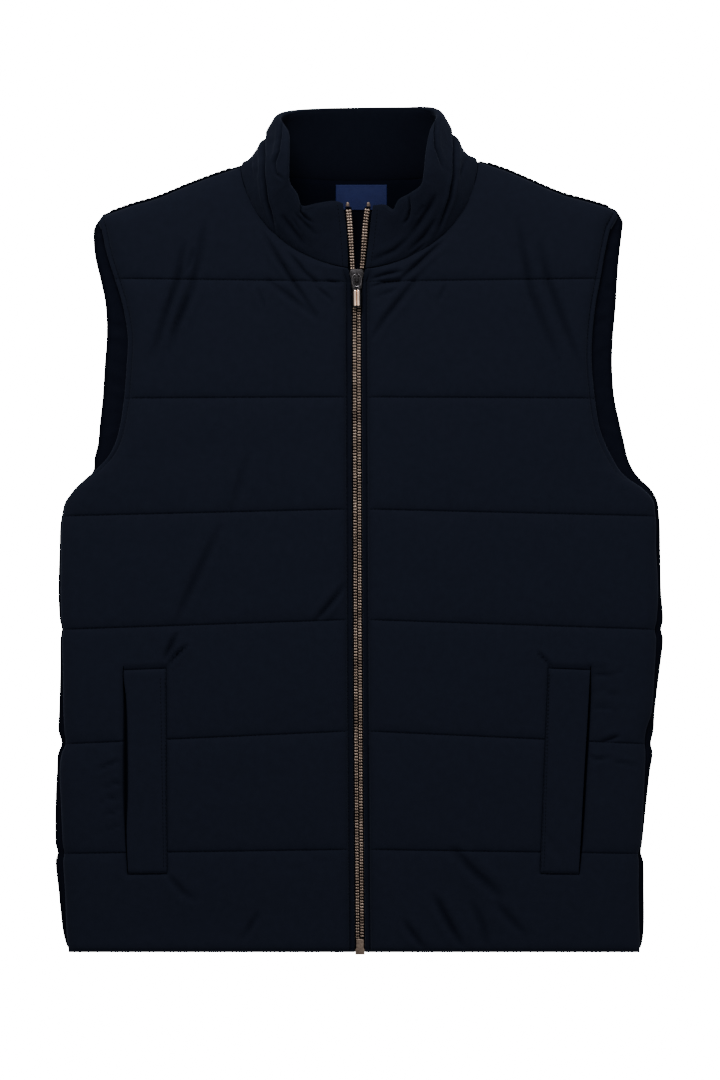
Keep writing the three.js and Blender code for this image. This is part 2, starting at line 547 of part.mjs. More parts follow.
// The back's gathered shoulder edge, seen as small scallops beyond the front.
function shoulderGather(side) {
  const steps = GATHERS.waves * GATHERS.stepsPerWave;
  const rings = [];
  for (let k = 0; k <= steps; k += 1) {
    const share = mix(GATHERS.from, GATHERS.to, k / steps);
    const swell = Math.abs(Math.sin((Math.PI * k) / GATHERS.stepsPerWave));
    const [x, y] = shoulderPoint(side, share);
    const outer = y - GATHERS.depth * (1 - swell);
    const inner = y - BACK_SHOULDER_INSET + 2 * GAP;
    const top = GATHERS.top - GATHERS.lift * (1 - swell);
    const ring = [
      [x, inner, 0],
      [x, outer - GATHERS.foot, 0],
      [x, outer, GATHERS.swellZ],
      [x, outer - GATHERS.shoulder, top],
      [x, inner + GATHERS.innerSlope, GATHERS.top],
      [x, inner, GATHERS.innerZ],
    ];
    rings.push(side < 0 ? ring : ring.reverse());
  }
  return loft(rings);
}

// A ribbon of rectangular section through rows of two edges and a height.
function ribbon(rows, thickness) {
  return loft(rows.map(({ a, b, y, z }) => [
    [a, y, z],
    [b, y, z],
    [b, y, z + thickness],
    [a, y, z + thickness],
  ]));
}

// Rows up one half of the zip, with the height that they lie at. Without a width they reach the tape's edge.
function zipRows(side, width, lift) {
  const names = side < 0 ? ["rightEdge", "rightTeeth"] : ["leftEdge", "leftTeeth"];
  const rows = [];
  const bottom = HEM_Y + ZIP.boxLength;
  const top = ZIP.topY;
  for (let k = 0; k <= ZIP.rows; k += 1) {
    const y = mix(bottom, top, k / ZIP.rows);
    const inner = zipX(y) + side * ZIP.seamInset;
    const outer = zipX(y) + side * (ZIP.halfOpening - GAP);
    rows.push({ inner, outer, y, z: OPEN_ZIP[0].z });
  }
  for (const row of OPEN_ZIP.slice(1)) {
    rows.push({ inner: row[names[1]], outer: row[names[0]] - side * ZIP.seamInset, y: row.y, z: row.z });
  }
  return rows.map(({ inner, outer, y, z }) => {
    const edge = width === undefined ? outer : inner + side * width;
    return side < 0 ? { a: edge, b: inner, y, z: z + lift } : { a: inner, b: edge, y, z: z + lift };
  });
}

const zipTape = (side) => ribbon(zipRows(side, undefined, 0), ZIP.tapeThickness);
const zipChain = (side) => ribbon(zipRows(side, ZIP.chainHalfWidth, ZIP.tapeThickness + GAP), ZIP.chainThickness);

const CHAIN_TOP = OPEN_ZIP[0].z + ZIP.tapeThickness + GAP + ZIP.chainThickness;
const PLATE_TOP = CHAIN_TOP + GAP + SLIDER.plate;

// A plate with chosen outline, standing from one height to another.
function plate(outline, from, to) {
  const shape = new THREE.Shape(outline.map(([x, y]) => new THREE.Vector2(x, y)));
  return new THREE.ExtrudeGeometry(shape, { depth: to - from, bevelEnabled: false }).translate(0, 0, from);
}

function topStop(side) {
  const row = OPEN_ZIP.at(-1);
  const [inner, outer] = side < 0
    ? [row.rightTeeth, row.rightEdge + ZIP.stopInset]
    : [row.leftTeeth, row.leftEdge - ZIP.stopInset];
  const [low, high] = [Math.min(inner, outer), Math.max(inner, outer)];
  const y = row.y + GAP;
  const end = y + ZIP.stopLength;
  const outline = [[low, y], [high, y], [high - ZIP.stopTaper, end], [low + ZIP.stopTaper, end]];
  return plate(outline, row.z, row.z + ZIP.tapeThickness + ZIP.chainThickness);
}

function zipBox() {
  const x = zipX(HEM_Y);
  const bottom = HEM_Y - ZIP.boxBelowHem;
  const top = HEM_Y + ZIP.boxLength - GAP;
  const half = ZIP.boxWidth / 2;
  const shoulder = bottom + ZIP.boxFoot;
  const low = shoulder - ZIP.boxShoulder.height;
  const narrow = half - ZIP.boxShoulder.width;
  const outline = [
    [x - half, bottom], [x + half, bottom], [x + half, low], [x + narrow, shoulder],
    [x + narrow, top], [x - narrow, top], [x - narrow, shoulder], [x - half, low],
  ];
  return plate(outline, OPEN_ZIP[0].z, CHAIN_TOP + ZIP.boxCrown);
}

const PIVOT = { x: zipX(SLIDER.y), y: BRIDGE.y, z: PLATE_TOP + PULL.pivotHeight };

// manifold-3d solids, for pieces that are joined or cut
function solid(geometry) {
  const bare = geometry.clone();
  bare.deleteAttribute("normal");
  bare.deleteAttribute("uv");
  const merged = mergeVertices(bare, 1e-4);
  const triVerts = new Uint32Array(merged.index.array);
  return new wasm.Manifold(new wasm.Mesh({ numProp: 3, vertProperties: merged.attributes.position.array, triVerts }));
}

function geometryOf(made) {
  const { vertProperties, triVerts } = made.getMesh();
  const geometry = new THREE.BufferGeometry();
  geometry.setAttribute("position", new THREE.Float32BufferAttribute(vertProperties, 3));
  geometry.setIndex(new THREE.Uint32BufferAttribute(triVerts, 1));
  return geometry;
}

// The slider: a tapered plate over the teeth, and the bridge that holds the pull.
function sliderBody() {
  const top = SLIDER.y + SLIDER.length / 2;
  const bottom = SLIDER.y - SLIDER.length / 2;
  const [wide, narrow] = [SLIDER.topWidth / 2, SLIDER.bottomWidth / 2];
  const x = zipX(SLIDER.y);
  const { foot, footRise, waist, crownDrop, crownStep, crownInset } = SLIDER_CORNERS;
  const rightHalf = [
    [narrow - foot, bottom], [narrow, bottom + footRise], [narrow + waist, SLIDER.y],
    [wide, top - crownDrop], [wide - crownStep, top - crownStep], [wide - crownInset, top],
  ];
  const outline = [
    ...rightHalf.map(([away, y]) => [x + away, y]),
    ...rightHalf.map(([away, y]) => [x - away, y]).reverse(),
  ];
  const body = solid(plate(outline, CHAIN_TOP + GAP, PLATE_TOP));
  const arch = new THREE.Shape();
  const [low, high] = [BRIDGE.y - BRIDGE.length / 2, BRIDGE.y + BRIDGE.length / 2];
  const crown = PLATE_TOP + BRIDGE.rise;
  const root = PLATE_TOP - BRIDGE.root;
  arch.moveTo(low, root);
  arch.lineTo(low, crown - BRIDGE.chamfer);
  arch.lineTo(low + BRIDGE.chamfer, crown);
  arch.lineTo(high - BRIDGE.chamfer, crown);
  arch.lineTo(high, crown - BRIDGE.chamfer);
  arch.lineTo(high, root);
  arch.lineTo(high - BRIDGE.wall, root);
  arch.lineTo(high - BRIDGE.wall, crown - BRIDGE.bar);
  arch.lineTo(low + BRIDGE.wall, crown - BRIDGE.bar);
  arch.lineTo(low + BRIDGE.wall, root);
  const bridge = new THREE.ExtrudeGeometry(arch, { depth: BRIDGE.width, bevelEnabled: false });
  // The arch is drawn in Y and Z and stands across X.
  bridge.applyMatrix4(new THREE.Matrix4().set(0, 0, 1, x - BRIDGE.width / 2, 1, 0, 0, 0, 0, 1, 0, 0, 0, 0, 0, 1));
  return geometryOf(body.add(solid(bridge)));
}

// The pull: a pin under the bridge, an arm on each side of it and a body of two bars, hanging towards the hem
function pullTab() {
  const box = (x0, x1, y0, y1, height) => new THREE.BoxGeometry(x1 - x0, y1 - y0, height)
    .translate(PIVOT.x + (x0 + x1) / 2, PIVOT.y + (y0 + y1) / 2, PIVOT.z);
  const inner = BRIDGE.width / 2 + PULL.armGap;
  const outer = inner + PULL.arm;
  const half = PULL.pin / 2;
  const pin = solid(box(-outer, outer, -half, half, PULL.pin));
  const arms = [-1, 1].map((side) => {
    const [x0, x1] = side < 0 ? [-outer, -inner] : [inner, outer];
    return solid(box(x0, x1, -PULL.armReach, half, PULL.pin));
  });
  const otherHalf = PULL_SECTION.slice(1, -1).map(([away, up]) => [-away, up]).reverse();
  const sections = PULL_BODY.map(({ along, halfWidth, halfThickness }) =>
    [...PULL_SECTION, ...otherHalf].map(([away, up]) => [
      PIVOT.x + away * halfWidth,
      PIVOT.y - along,
      PIVOT.z + up * halfThickness,
    ]));
  return geometryOf(solid(loft(sections)).add(pin).add(arms[0]).add(arms[1]));
}

// The middle of the collar's wall, at a turn round the neck and a share of the way up
function collarMiddle(turn, t) {
  const side = turn < 180 ? -1 : 1;
  const round = Math.min(turn, 360 - turn);
  const margin = mix(COLLAR_MARGIN.front, COLLAR_MARGIN.back, clamp01((round - COLLAR_MARGIN.from) / COLLAR_MARGIN.over));
  const [neckX, neckY] = neckPoint(round, margin);
  const at = (column) => read(COLLAR, "turn", turn, column);
  const base = [side * neckX, neckY, at("baseZ")];
  const top = [at("topX"), at("topY"), at("topZ")];
  const belly = [at("bellyX"), at("bellyY"), at("bellyZ")];
  // The curve passes the belly half way up.
  return base.map((value, i) => {
    const pull = 2 * belly[i] - (value + top[i]) / 2;
    return value * (1 - t) ** 2 + 2 * pull * t * (1 - t) + top[i] * t * t;
  });
}

// The collar: one padded band that follows the neck seam, from one front edge round the back to the other
function collar() {
  const first = COLLAR[0].turn;
  const last = COLLAR.at(-1).turn;
  const vector = (turn, t) => new THREE.Vector3(...collarMiddle(turn, t));
  const rings = [];
  for (let k = 0; k <= COLLAR_STEPS.around; k += 1) {
    const turn = mix(first, last, k / COLLAR_STEPS.around);
    const outside = [];
    const inside = [];
    for (const t of COLLAR_STEPS.up) {
      const middle = vector(turn, t);
      const around = vector(Math.min(turn + 1, last), t).sub(vector(Math.max(turn - 1, first), t));
      const up = vector(turn, Math.min(1, t + 0.02)).sub(vector(turn, Math.max(0, t - 0.02))).normalize();
      const out = new THREE.Vector3().crossVectors(up, around).normalize();
      const wall = mix(COLLAR_SEAM_WALL, COLLAR_WALL, dome(t / COLLAR_SHAPE.fullFrom)) * (t === 1 ? COLLAR_SHAPE.topShare : 1);
      outside.push(middle.clone().addScaledVector(out, wall / 2).toArray());
      inside.unshift(middle.clone().addScaledVector(out, -wall / 2).toArray());
      if (t === 1) {
        for (const half of [COLLAR_SHAPE.tipShare, -COLLAR_SHAPE.tipShare]) {
          const tip = middle.clone().addScaledVector(up, COLLAR_EDGE_INSET).addScaledVector(out, half * wall);
          outside.push(tip.toArray());
        }
      }
    }
    // The back of the collar rests on the surface.
    const ring = [...outside, ...inside].map(([x, y, z]) => [x, y, Math.max(0, z)]);
    rings.push(ring.reverse());
  }
  return loft(rings);
}

// Finishes
const SHELL_CLOTH = { color: 0x101624, roughness: 0.92, metalness: 0 };
const LINING_CLOTH = { color: 0x0c1220, roughness: 0.92, metalness: 0 };
const LABEL_CLOTH = { color: 0x1c2a52, roughness: 0.8, metalness: 0 };
const TAPE_CLOTH = { color: 0x0c0f16, roughness: 0.9, metalness: 0 };
const TEETH_METAL = { color: 0x7a6a5e, roughness: 0.4, metalness: 0.9 };
const SLIDER_METAL = { color: 0x3a3634, roughness: 0.4, metalness: 0.9 };
const PULL_METAL = { color: 0xa08873, roughness: 0.3, metalness: 1 };

const vest = new THREE.Group();
function addPiece(name, geometry, finish) {
  const piece = new THREE.Mesh(geometry, new THREE.MeshStandardMaterial(finish));
  piece.name = name;
  vest.add(piece);
}

addPiece("back_panel", backPanel(), LINING_CLOTH);
for (const [name, side] of [["right", -1], ["left", 1]]) {
  addPiece(`front_${name}`, frontPanel(side), SHELL_CLOTH);
  addPiece(`shoulder_gather_${name}`, shoulderGather(side), SHELL_CLOTH);
  addPiece(`pocket_welt_${name}`, pocketWelt(side), SHELL_CLOTH);
  addPiece(`zip_tape_${name}`, zipTape(side), TAPE_CLOTH);
  addPiece(`zip_teeth_${name}`, zipChain(side), TEETH_METAL);
  addPiece(`zip_stop_${name}`, topStop(side), TEETH_METAL);
}
addPiece("collar", collar(), SHELL_CLOTH);
const labelOutline = [
  [LABEL.right, LABEL.bottom], [LABEL.left, LABEL.bottom], [LABEL.left, LABEL.top], [LABEL.right, LABEL.top],
];
addPiece("neck_label", plate(labelOutline, BACK_THICKNESS + GAP, BACK_THICKNESS + GAP + LABEL.thickness), LABEL_CLOTH);
addPiece("zip_box", zipBox(), TEETH_METAL);
addPiece("zip_slider", sliderBody(), SLIDER_METAL);
addPiece("pull_tab", pullTab(), PULL_METAL);

export default vest;
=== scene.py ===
"""A padded, quilted vest laid flat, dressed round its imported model."""
import math

import bmesh
import bpy
import numpy as np
from bpy.props import FloatProperty, FloatVectorProperty, IntProperty, PointerProperty
from mathutils import Matrix, Vector


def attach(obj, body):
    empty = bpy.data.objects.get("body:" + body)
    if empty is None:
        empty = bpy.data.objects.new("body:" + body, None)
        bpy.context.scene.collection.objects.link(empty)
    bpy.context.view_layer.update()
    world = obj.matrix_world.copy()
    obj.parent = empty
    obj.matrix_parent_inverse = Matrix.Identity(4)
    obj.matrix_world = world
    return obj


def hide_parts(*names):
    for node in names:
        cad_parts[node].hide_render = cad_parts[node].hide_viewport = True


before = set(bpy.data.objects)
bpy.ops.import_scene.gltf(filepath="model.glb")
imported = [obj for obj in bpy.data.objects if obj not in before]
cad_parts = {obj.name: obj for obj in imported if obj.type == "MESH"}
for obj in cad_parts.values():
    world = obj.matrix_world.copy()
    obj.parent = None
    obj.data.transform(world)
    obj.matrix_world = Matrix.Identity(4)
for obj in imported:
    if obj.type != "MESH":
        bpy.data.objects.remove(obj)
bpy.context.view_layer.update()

bl_info = {
    "name": "Quilted vest",
    "version": (1, 0, 0),
    "blender": (4, 5, 0),
    "location": "3D View > Sidebar > Vest",
    "description": "Makes the cloth, stitching and zip of a padded vest that is laid flat",
    "category": "Add Mesh",
}

# Plan sizes and tables are in millimetres, as on a cutting table. Meshes are in metres.
MM = 0.001


def table(columns, *values):
    """Rows with named columns."""
    names = columns.split()
    return [dict(zip(names, row)) for row in values]


# Layers, from the surface up
BACK_THICKNESS = 9.0
FRONT_BASE = 9.3
CREST = 12.0
EDGE = 1.6
WELT_BED = 7.6
GAP = 0.3

# Hem, neck and shoulders
HEM_Y = -391.5
NECK = {"y": 338.0, "half_width": 110.5, "front_drop": 96.0, "back_drop": 15.0, "roundness": 1.8}
# Behind the shoulders the neck seam draws in, between two turns round the neck.
NECK_TUCK = {"from": 88.0, "to": 144.0, "depth": 8.0}
# Beside each shoulder the neck seam lies higher, most at one angle round the neck.
NECK_LIFT = {"right": 1.0, "left": 4.2, "turn": 92.0, "width": 13.0}
SHOULDER = {
    "neck_x": 111.0, "tip_x": 238.0, "neck_y": 339.5, "right_tip_y": 294.8, "left_tip_y": 297.6, "bow": 1.6,
}
SHOULDER_LIFT = table(
    "share right left",
    (0.0, 0.6, 5.4), (0.2, -0.5, 4.0), (0.4, -0.6, 2.1), (0.6, -0.2, 1.7), (0.78, 1.8, 3.4), (0.92, 1.0, 3.2),
    (1.02, -0.3, 0.8),
)
BACK_SHOULDER_INSET = 9.0
FRONT_SHOULDER_INSET = 3.7

# Quilting seams across a front: height at the zip and at the side
SEAMS = table(
    "zip side",
    (HEM_Y, HEM_Y),
    (-295.7, -299.5),
    (-186.0, -198.0),
    (-82.8, -92.0),
    (19.5, 13.0),
    (123.2, 122.2),
    (230.2, 233.0),
)

# Side and armhole edges: the fronts' folded edge, and the back's edge that shows beyond it
SIDES = table(
    "y front_right front_left back_right back_left",
    (-391.5, -269.7, 260.2, -270.2, 261.2),
    (-377, -271.2, 260.1, -274.5, 263.7),
    (-363, -272, 259.6, -276.7, 264.6),
    (-335, -273, 259, -279.5, 264.4),
    (-307, -274.6, 259.2, -282.3, 263.9),
    (-299.5, -273.4, 258.6, -280.2, 261.6),
    (-291, -275, 261.2, -282.3, 262.8),
    (-251, -276.9, 263.7, -282.3, 267),
    (-223, -278, 264.8, -281, 270.2),
    (-207, -276, 265.4, -280, 272.6),
    (-198, -272.4, 264.6, -276.5, 270.9),
    (-186, -273.6, 265.8, -279.7, 273.4),
    (-167, -274.5, 271.4, -279, 274.6),
    (-130, -275.1, 273.9, -278, 279),
    (-101, -275.6, 275.3, -277.8, 282.3),
    (-92, -274.6, 273.9, -276.4, 280.4),
    (-83, -276.2, 275.8, -278.4, 282.3),
    (-56, -277.1, 277.2, -279.7, 280.4),
    (-15, -276.7, 275.2, -278.6, 279.6),
    (4, -276, 275.4, -278, 279.3),
    (15, -274.6, 274.4, -276.2, 278.4),
    (28, -271.4, 272.4, -272.6, 276.6),
    (39, -263.6, 262.6, -262.4, 270.2),
    (48, -254, 249, -252.6, 260.6),
    (56, -244.6, 241, -247, 254.4),
    (67, -233.9, 234.6, -246.2, 249.4),
    (80, -226.5, 228, -243, 246.4),
    (98, -221.6, 222, -241.3, 242.3),
    (123, -218, 218.3, -238.6, 237),
    (153, -215.6, 215.5, -236.7, 234.9),
    (179, -214.6, 215.8, -234.8, 235.7),
    (209, -219.4, 219, -235.8, 238.3),
    (232, -226.4, 223.2, -240.4, 239.6),
    (256, -233.9, 227.4, -245.8, 241.6),
    (279, -238.8, 232.6, -246.9, 244.4),
    (286, -241.2, 236.6, -244.6, 245),
    (291, -239, 239, -241.5, 242.6),
)

# The closed zip's line, and the two halves above the slider
ZIP_LINE = table("y x", (HEM_Y, 0.6), (-235, -0.7), (-78, -1.6), (80, -2.2), (236, -2.5))
OPEN_ZIP = table(
    "y right_edge right_teeth left_edge left_teeth z",
    (236, -6.8, -2.7, 1.8, -2.3, 9.7),
    (243, -8.9, -4.0, 4.9, 0.1, 9.7),
    (255, -9.7, -4.6, 6.6, 0.9, 12),
    (270, -10.8, -5.3, 8.0, 1.8, 15),
    (285, -12.0, -6.2, 8.7, 2.9, 18),
    (299, -13.3, -7.3, 10.6, 4.9, 20.5),
)
HALF_OPENING = 4.7
LIP_WIDTH = 6.0

# Pocket welts: the stitched edge and the free edge, top and bottom
WELTS = table(
    "top bottom sewn_top sewn_bottom free_top free_bottom",
    (-128.5, -317.5, -179.2, -178.2, -216.4, -214.7),
    (-128.5, -317.5, 175.2, 167.6, 213.6, 203.4),
)


def fold(width, depth, *points):
    """A crease as a soft trough through points, with its width and depth first."""
    return {"width": width, "depth": depth, "points": points}


# Creases pressed into the fronts: the right one's, the left one's, and those beside the right pocket
CREASES = (
    fold(4.3, 1.0, (-143, 288), (-147, 258), (-156, 222), (-169, 190), (-176, 160)),
    fold(3.9, 1.3, (-161, 270), (-168, 232), (-182, 190), (-193, 156)),
    fold(3.1, 0.6, (-152, 262), (-160, 236)),
    fold(3.5, 0.8, (-157, 219), (-175, 176)),
    fold(2.7, 1.1, (-90, 278), (-73, 248), (-54, 219), (-38, 196)),
    fold(2.3, 0.8, (-66, 258), (-50, 238), (-36, 226)),
    fold(3.1, 0.7, (-88, 234), (-62, 214), (-35, 194)),
    fold(2.0, 0.6, (-42, 227), (-22, 210)),
    fold(1.7, 0.5, (-31, 231), (-15, 228)),
    fold(2.3, 0.4, (-94, 224), (-87, 204)),
    fold(5.5, 0.5, (-103, 72), (-112, 40), (-121, 10)),
    fold(2.8, 1.2, (-10, -46), (-22, -62), (-42, -86)),
    fold(4.3, 1.0, (-128, 6), (-141, -22), (-153, -48), (-164, -72), (-171, -92)),
    fold(2.8, 1.2, (-168, -94), (-174, -106), (-181, -121)),
    fold(1.9, 1.3, (-158, -105), (-168, -114), (-179, -126)),
    fold(3.1, 0.8, (-92, -352), (-108, -379)),
    fold(3.9, 0.8, (-178, -318), (-163, -335), (-151, -343)),
    fold(3.9, 1.0, (147, 290), (152, 256), (160, 218), (173, 184), (188, 148)),
    fold(3.9, 1.1, (166, 268), (176, 228), (190, 190), (208, 146)),
    fold(2.7, 1.1, (80, 270), (62, 254), (35, 229)),
    fold(3.1, 1.1, (57, 238), (38, 214), (22, 194), (8, 173)),
    fold(2.3, 0.5, (80, 229), (74, 212)),
    fold(1.9, 0.8, (41, 240), (24, 237), (9, 232)),
    fold(1.9, 0.7, (40, 231), (22, 229), (7, 224)),
    fold(1.9, 0.5, (36, 223), (13, 215)),
    fold(3.5, 1.1, (40, -360), (50, -374), (62, -390)),
    fold(3.9, 1.5, (68, -336), (80, -358), (97, -388)),
    fold(4.7, 1.2, (84, -292), (106, -316), (136, -343)),
    fold(4.7, 0.9, (104, -342), (114, -366), (120, -389)),
    fold(3.9, 0.9, (124, -342), (140, -360), (156, -377)),
    fold(2.0, 1.0, (164, -111), (170, -118), (178, -126)),
    fold(1.6, 1.0, (210, -126), (228, -127), (246, -131)),
    fold(1.8, 0.6, (210, -134), (228, -132), (243, -135)),
    fold(2.1, 0.6, (210, -150), (226, -148), (242, -153)),
    fold(2.1, 0.5, (209, -166), (224, -163), (240, -167)),
    fold(2.1, 0.6, (205, -205), (219, -212), (235, -210)),
    fold(2.3, 0.7, (224, -196), (242, -190)),
    fold(2.1, 0.5, (233, -213), (258, -218)),
    fold(1.8, 0.7, (-238, -239), (-226, -234), (-215, -232)),
    fold(1.8, 0.7, (-241, -252), (-228, -247), (-215, -244)),
    fold(1.8, 0.6, (-239, -265), (-215, -255)),
    fold(2.3, 0.7, (-244, -222), (-220, -212)),
    fold(1.8, 0.5, (-236, -278), (-215, -270)),
)

# Creases in the collar's outside
COLLAR_CREASES = (
    fold(1.8, 3.0, (-88.5, 376), (-88.6, 350), (-88.2, 324), (-85.5, 303), (-81, 288), (-77, 272)),
    fold(3.0, 1.6, (-72, 291), (-62, 278), (-50, 263)),
    fold(2.6, 1.3, (-60, 293), (-50, 283), (-39, 272)),
    fold(2.2, 0.8, (-63, 290), (-54, 275)),
    fold(1.6, 2.0, (-54, 308), (-54, 293), (-49, 288), (-42, 283)),
    fold(2.6, 0.8, (-95, 346), (-93, 326)),
    fold(2.2, 1.0, (-101, 344), (-100, 336), (-99, 326)),
    fold(1.8, 2.8, (87.5, 378), (88.2, 350), (87.5, 326), (84, 306), (78, 290), (72, 273)),
    fold(3.2, 1.9, (72, 310), (62, 293), (46, 270)),
    fold(2.8, 1.6, (70, 287), (59, 271), (45, 257)),
    fold(2.6, 1.5, (48, 272), (32, 259), (10, 249)),
    fold(1.5, 2.2, (45.5, 308), (46.8, 296), (45, 288), (40, 282)),
    fold(3.0, 0.8, (60, 300), (52, 288)),
    fold(2.4, 1.0, (64, 267), (40, 247)),
    fold(2.4, 0.8, (99, 345), (92, 324)),
    fold(1.5, 2.2, (-72, 384), (-72.5, 364), (-74.5, 348), (-78.5, 338), (-77, 328), (-69, 321)),
    fold(1.5, 2.0, (72, 384), (69.8, 366), (70.5, 352), (75, 339), (78, 330)),
)

# The collar from the right front edge round the back to the left one. Turn is the angle round the neck.
COLLAR = table(
    "turn base_z belly_x belly_y belly_z top_x top_y top_z",
    (7, 13, -11.6, 272, 17.5, -14.8, 299.5, 22),
    (11, 13.2, -20, 272, 18, -23, 301.6, 23),
    (17, 13.5, -33, 273, 20, -37, 299.6, 26),
    (28, 14, -53, 277, 24, -53, 296.5, 32),
    (36, 14.2, -63, 284, 26, -58, 307, 37),
    (47, 14.5, -75, 295, 29, -65, 317, 42),
    (64, 14, -86, 315, 31, -67, 329.5, 47),
    (78, 13, -89, 335, 30, -67, 347.5, 49),
    (90, 12, -89, 345, 26, -67.5, 364, 45),
    (104, 8, -87, 359, 18, -75, 378.5, 33),
    (122, 5.4, -77, 364, 8, -67, 385.4, 17),
    (145, 4, -44, 359, 4, -40, 388.5, 8.5),
    (180, 3.9, 0, 356, 3.9, 0, 389.5, 6.5),
    (215, 4, 43, 360, 4, 40, 389.8, 8),
    (238, 5.4, 76, 368, 8, 67, 389, 16),
    (256, 8, 87, 361, 18, 74, 381, 33),
    (270, 12, 88, 348, 26, 67.5, 366, 45),
    (282, 13, 88, 335, 30, 64, 347.5, 49),
    (296, 14, 85, 315, 31, 62, 329, 48),
    (313, 14.5, 73, 295, 29, 58.5, 315.5, 43),
    (330, 14, 53, 279, 24, 46, 307, 35),
    (338, 13.8, 42, 275, 22, 37, 302, 31),
    (343, 13.5, 34, 273, 20, 32, 293.5, 28),
    (350, 13.2, 21, 272, 19, 23, 298, 25),
    (356, 13, 9.3, 272, 17.5, 12.4, 297.5, 22),
)
COLLAR_WALL = 8.0
COLLAR_SEAM_WALL = 4.6
COLLAR_TIP = 3.1


# Sums that every piece uses

def mix(a, b, t):
    return a + (b - a) * t


def clamp01(t):
    return np.clip(t, 0.0, 1.0)


# The groove along each kind of stitching, and the label's pressed line: its depth and width
GROOVES = {
    "seam": (0.7, 0.8), "zip": (1.1, 0.9), "armhole": (0.8, 0.8), "hem": (0.7, 0.8), "welt": (1.0, 0.7),
    "label": (0.16, 0.35),
}


def groove(away, kind):
    """How deep a groove is at a distance from its line."""
    depth, width = GROOVES[kind]
    return depth * np.exp(-((away / width) ** 2))


def sided(name, side):
    """A name for the wearer's right, below 0, or left."""
    return name + ("_right" if side < 0 else "_left")


def dome(t):
    """A quarter circle: 0 at 0, and 1 from 1 on."""
    return np.sqrt(np.maximum(0.0, 1 - (1 - clamp01(t)) ** 2))


def read(rows, key, place, column):
    """A table's column at places between its rows, along a smooth curve through them."""
    keys = np.array([row[key] for row in rows], float)
    values = np.array([row[column] for row in rows], float)
    up = np.minimum(np.arange(len(keys)) + 1, len(keys) - 1)
    down = np.maximum(np.arange(len(keys)) - 1, 0)
    slopes = (values[up] - values[down]) / (keys[up] - keys[down])
    place = np.clip(np.asarray(place, float), keys[0], keys[-1])
    i = np.clip(np.searchsorted(keys, place, side="right") - 1, 0, len(keys) - 2)
    span = keys[i + 1] - keys[i]
    t = (place - keys[i]) / span
    return (
        values[i] * (2 * t**3 - 3 * t**2 + 1)
        + slopes[i] * span * (t**3 - 2 * t**2 + t)
        + values[i + 1] * (3 * t**2 - 2 * t**3)
        + slopes[i + 1] * span * (t**3 - t**2)
    )


def waves(x, y, size, seed, count=7):
    """Smooth uneven ripples about -1 to 1, of about that size, the same each run."""
    draw = np.random.RandomState(seed)
    total = np.zeros(np.broadcast(x, y).shape)
    for _ in range(count):
        angle = draw.uniform(0, math.pi)
        scale = 2 * math.pi / (size * draw.uniform(0.7, 1.6))
        phase = draw.uniform(0, 2 * math.pi)
        total = total + np.sin((x * math.cos(angle) + y * math.sin(angle)) * scale + phase)
    return total / math.sqrt(count * 1.4)


# A crease fades towards its ends. The low ridges beside it lie this many widths off.
CREASE_FORM = {"fading": 0.75, "ridge": 0.28, "ridge_off": 2.1}


def creased(x, y, creases):
    """How far the cloth is lowered at a point by creases, with a low ridge beside each."""
    lowered = np.zeros(np.broadcast(x, y).shape)
    for crease in creases:
        points = crease["points"]
        lengths = [math.dist(a, b) for a, b in zip(points[:-1], points[1:])]
        off = np.full(lowered.shape, 1e6)
        reached = np.zeros(lowered.shape)
        for k, (a, b) in enumerate(zip(points[:-1], points[1:])):
            dx, dy = b[0] - a[0], b[1] - a[1]
            along = clamp01(((x - a[0]) * dx + (y - a[1]) * dy) / lengths[k] ** 2)
            away = np.hypot(x - a[0] - along * dx, y - a[1] - along * dy)
            nearer = away < off
            off = np.where(nearer, away, off)
            reached = np.where(nearer, sum(lengths[:k]) + along * lengths[k], reached)
        taper = np.sin(math.pi * clamp01(reached / sum(lengths))) ** CREASE_FORM["fading"]
        trough = np.exp(-((off / crease["width"]) ** 2) * 2)
        ridge = np.exp(-((off / crease["width"] - CREASE_FORM["ridge_off"]) ** 2))
        lowered = lowered + crease["depth"] * taper * (trough - CREASE_FORM["ridge"] * ridge)
    return lowered


def zip_x(y):
    return read(ZIP_LINE, "y", y, "x")


def neck_tuck(turn):
    """How far the neck seam draws in behind the shoulders."""
    part = clamp01((turn - NECK_TUCK["from"]) / (NECK_TUCK["to"] - NECK_TUCK["from"]))
    return NECK_TUCK["depth"] * np.sin(math.pi * part)


def neck_line(turn, margin):
    """Points of the neck seam on the wearer's left, moved in by a margin. Turn is 0 to 180."""
    angle = np.radians(turn)
    power = 2 / NECK["roundness"]
    x = np.abs(np.sin(angle)) ** power * (NECK["half_width"] - margin) - neck_tuck(turn)
    cosine = np.cos(angle)
    front = np.maximum(cosine, 0) ** power * (NECK["front_drop"] - margin)
    behind = -cosine * NECK["back_drop"] - margin * (1 - (1 + cosine) ** 2)
    return x, NECK["y"] - np.where(cosine > 0, front, behind)


def shoulder_line(x):
    """The height of the shoulders' upper outline at x, on either side."""
    x = np.asarray(x, float)
    share = (np.abs(x) - SHOULDER["neck_x"]) / (SHOULDER["tip_x"] - SHOULDER["neck_x"])
    tip = np.where(x < 0, SHOULDER["right_tip_y"], SHOULDER["left_tip_y"])
    straight = mix(SHOULDER["neck_y"], tip, share) + np.sin(2 * math.pi * clamp01(share)) * SHOULDER["bow"]
    return straight + np.where(
        x < 0, read(SHOULDER_LIFT, "share", share, "right"), read(SHOULDER_LIFT, "share", share, "left"),
    )


def neck_lift(side, turn):
    """How much higher the neck seam lies beside a shoulder."""
    most = np.where(np.asarray(side) > 0, NECK_LIFT["left"], NECK_LIFT["right"])
    return most * np.exp(-(((np.asarray(turn) - NECK_LIFT["turn"]) / NECK_LIFT["width"]) ** 2))


# Mesh helpers

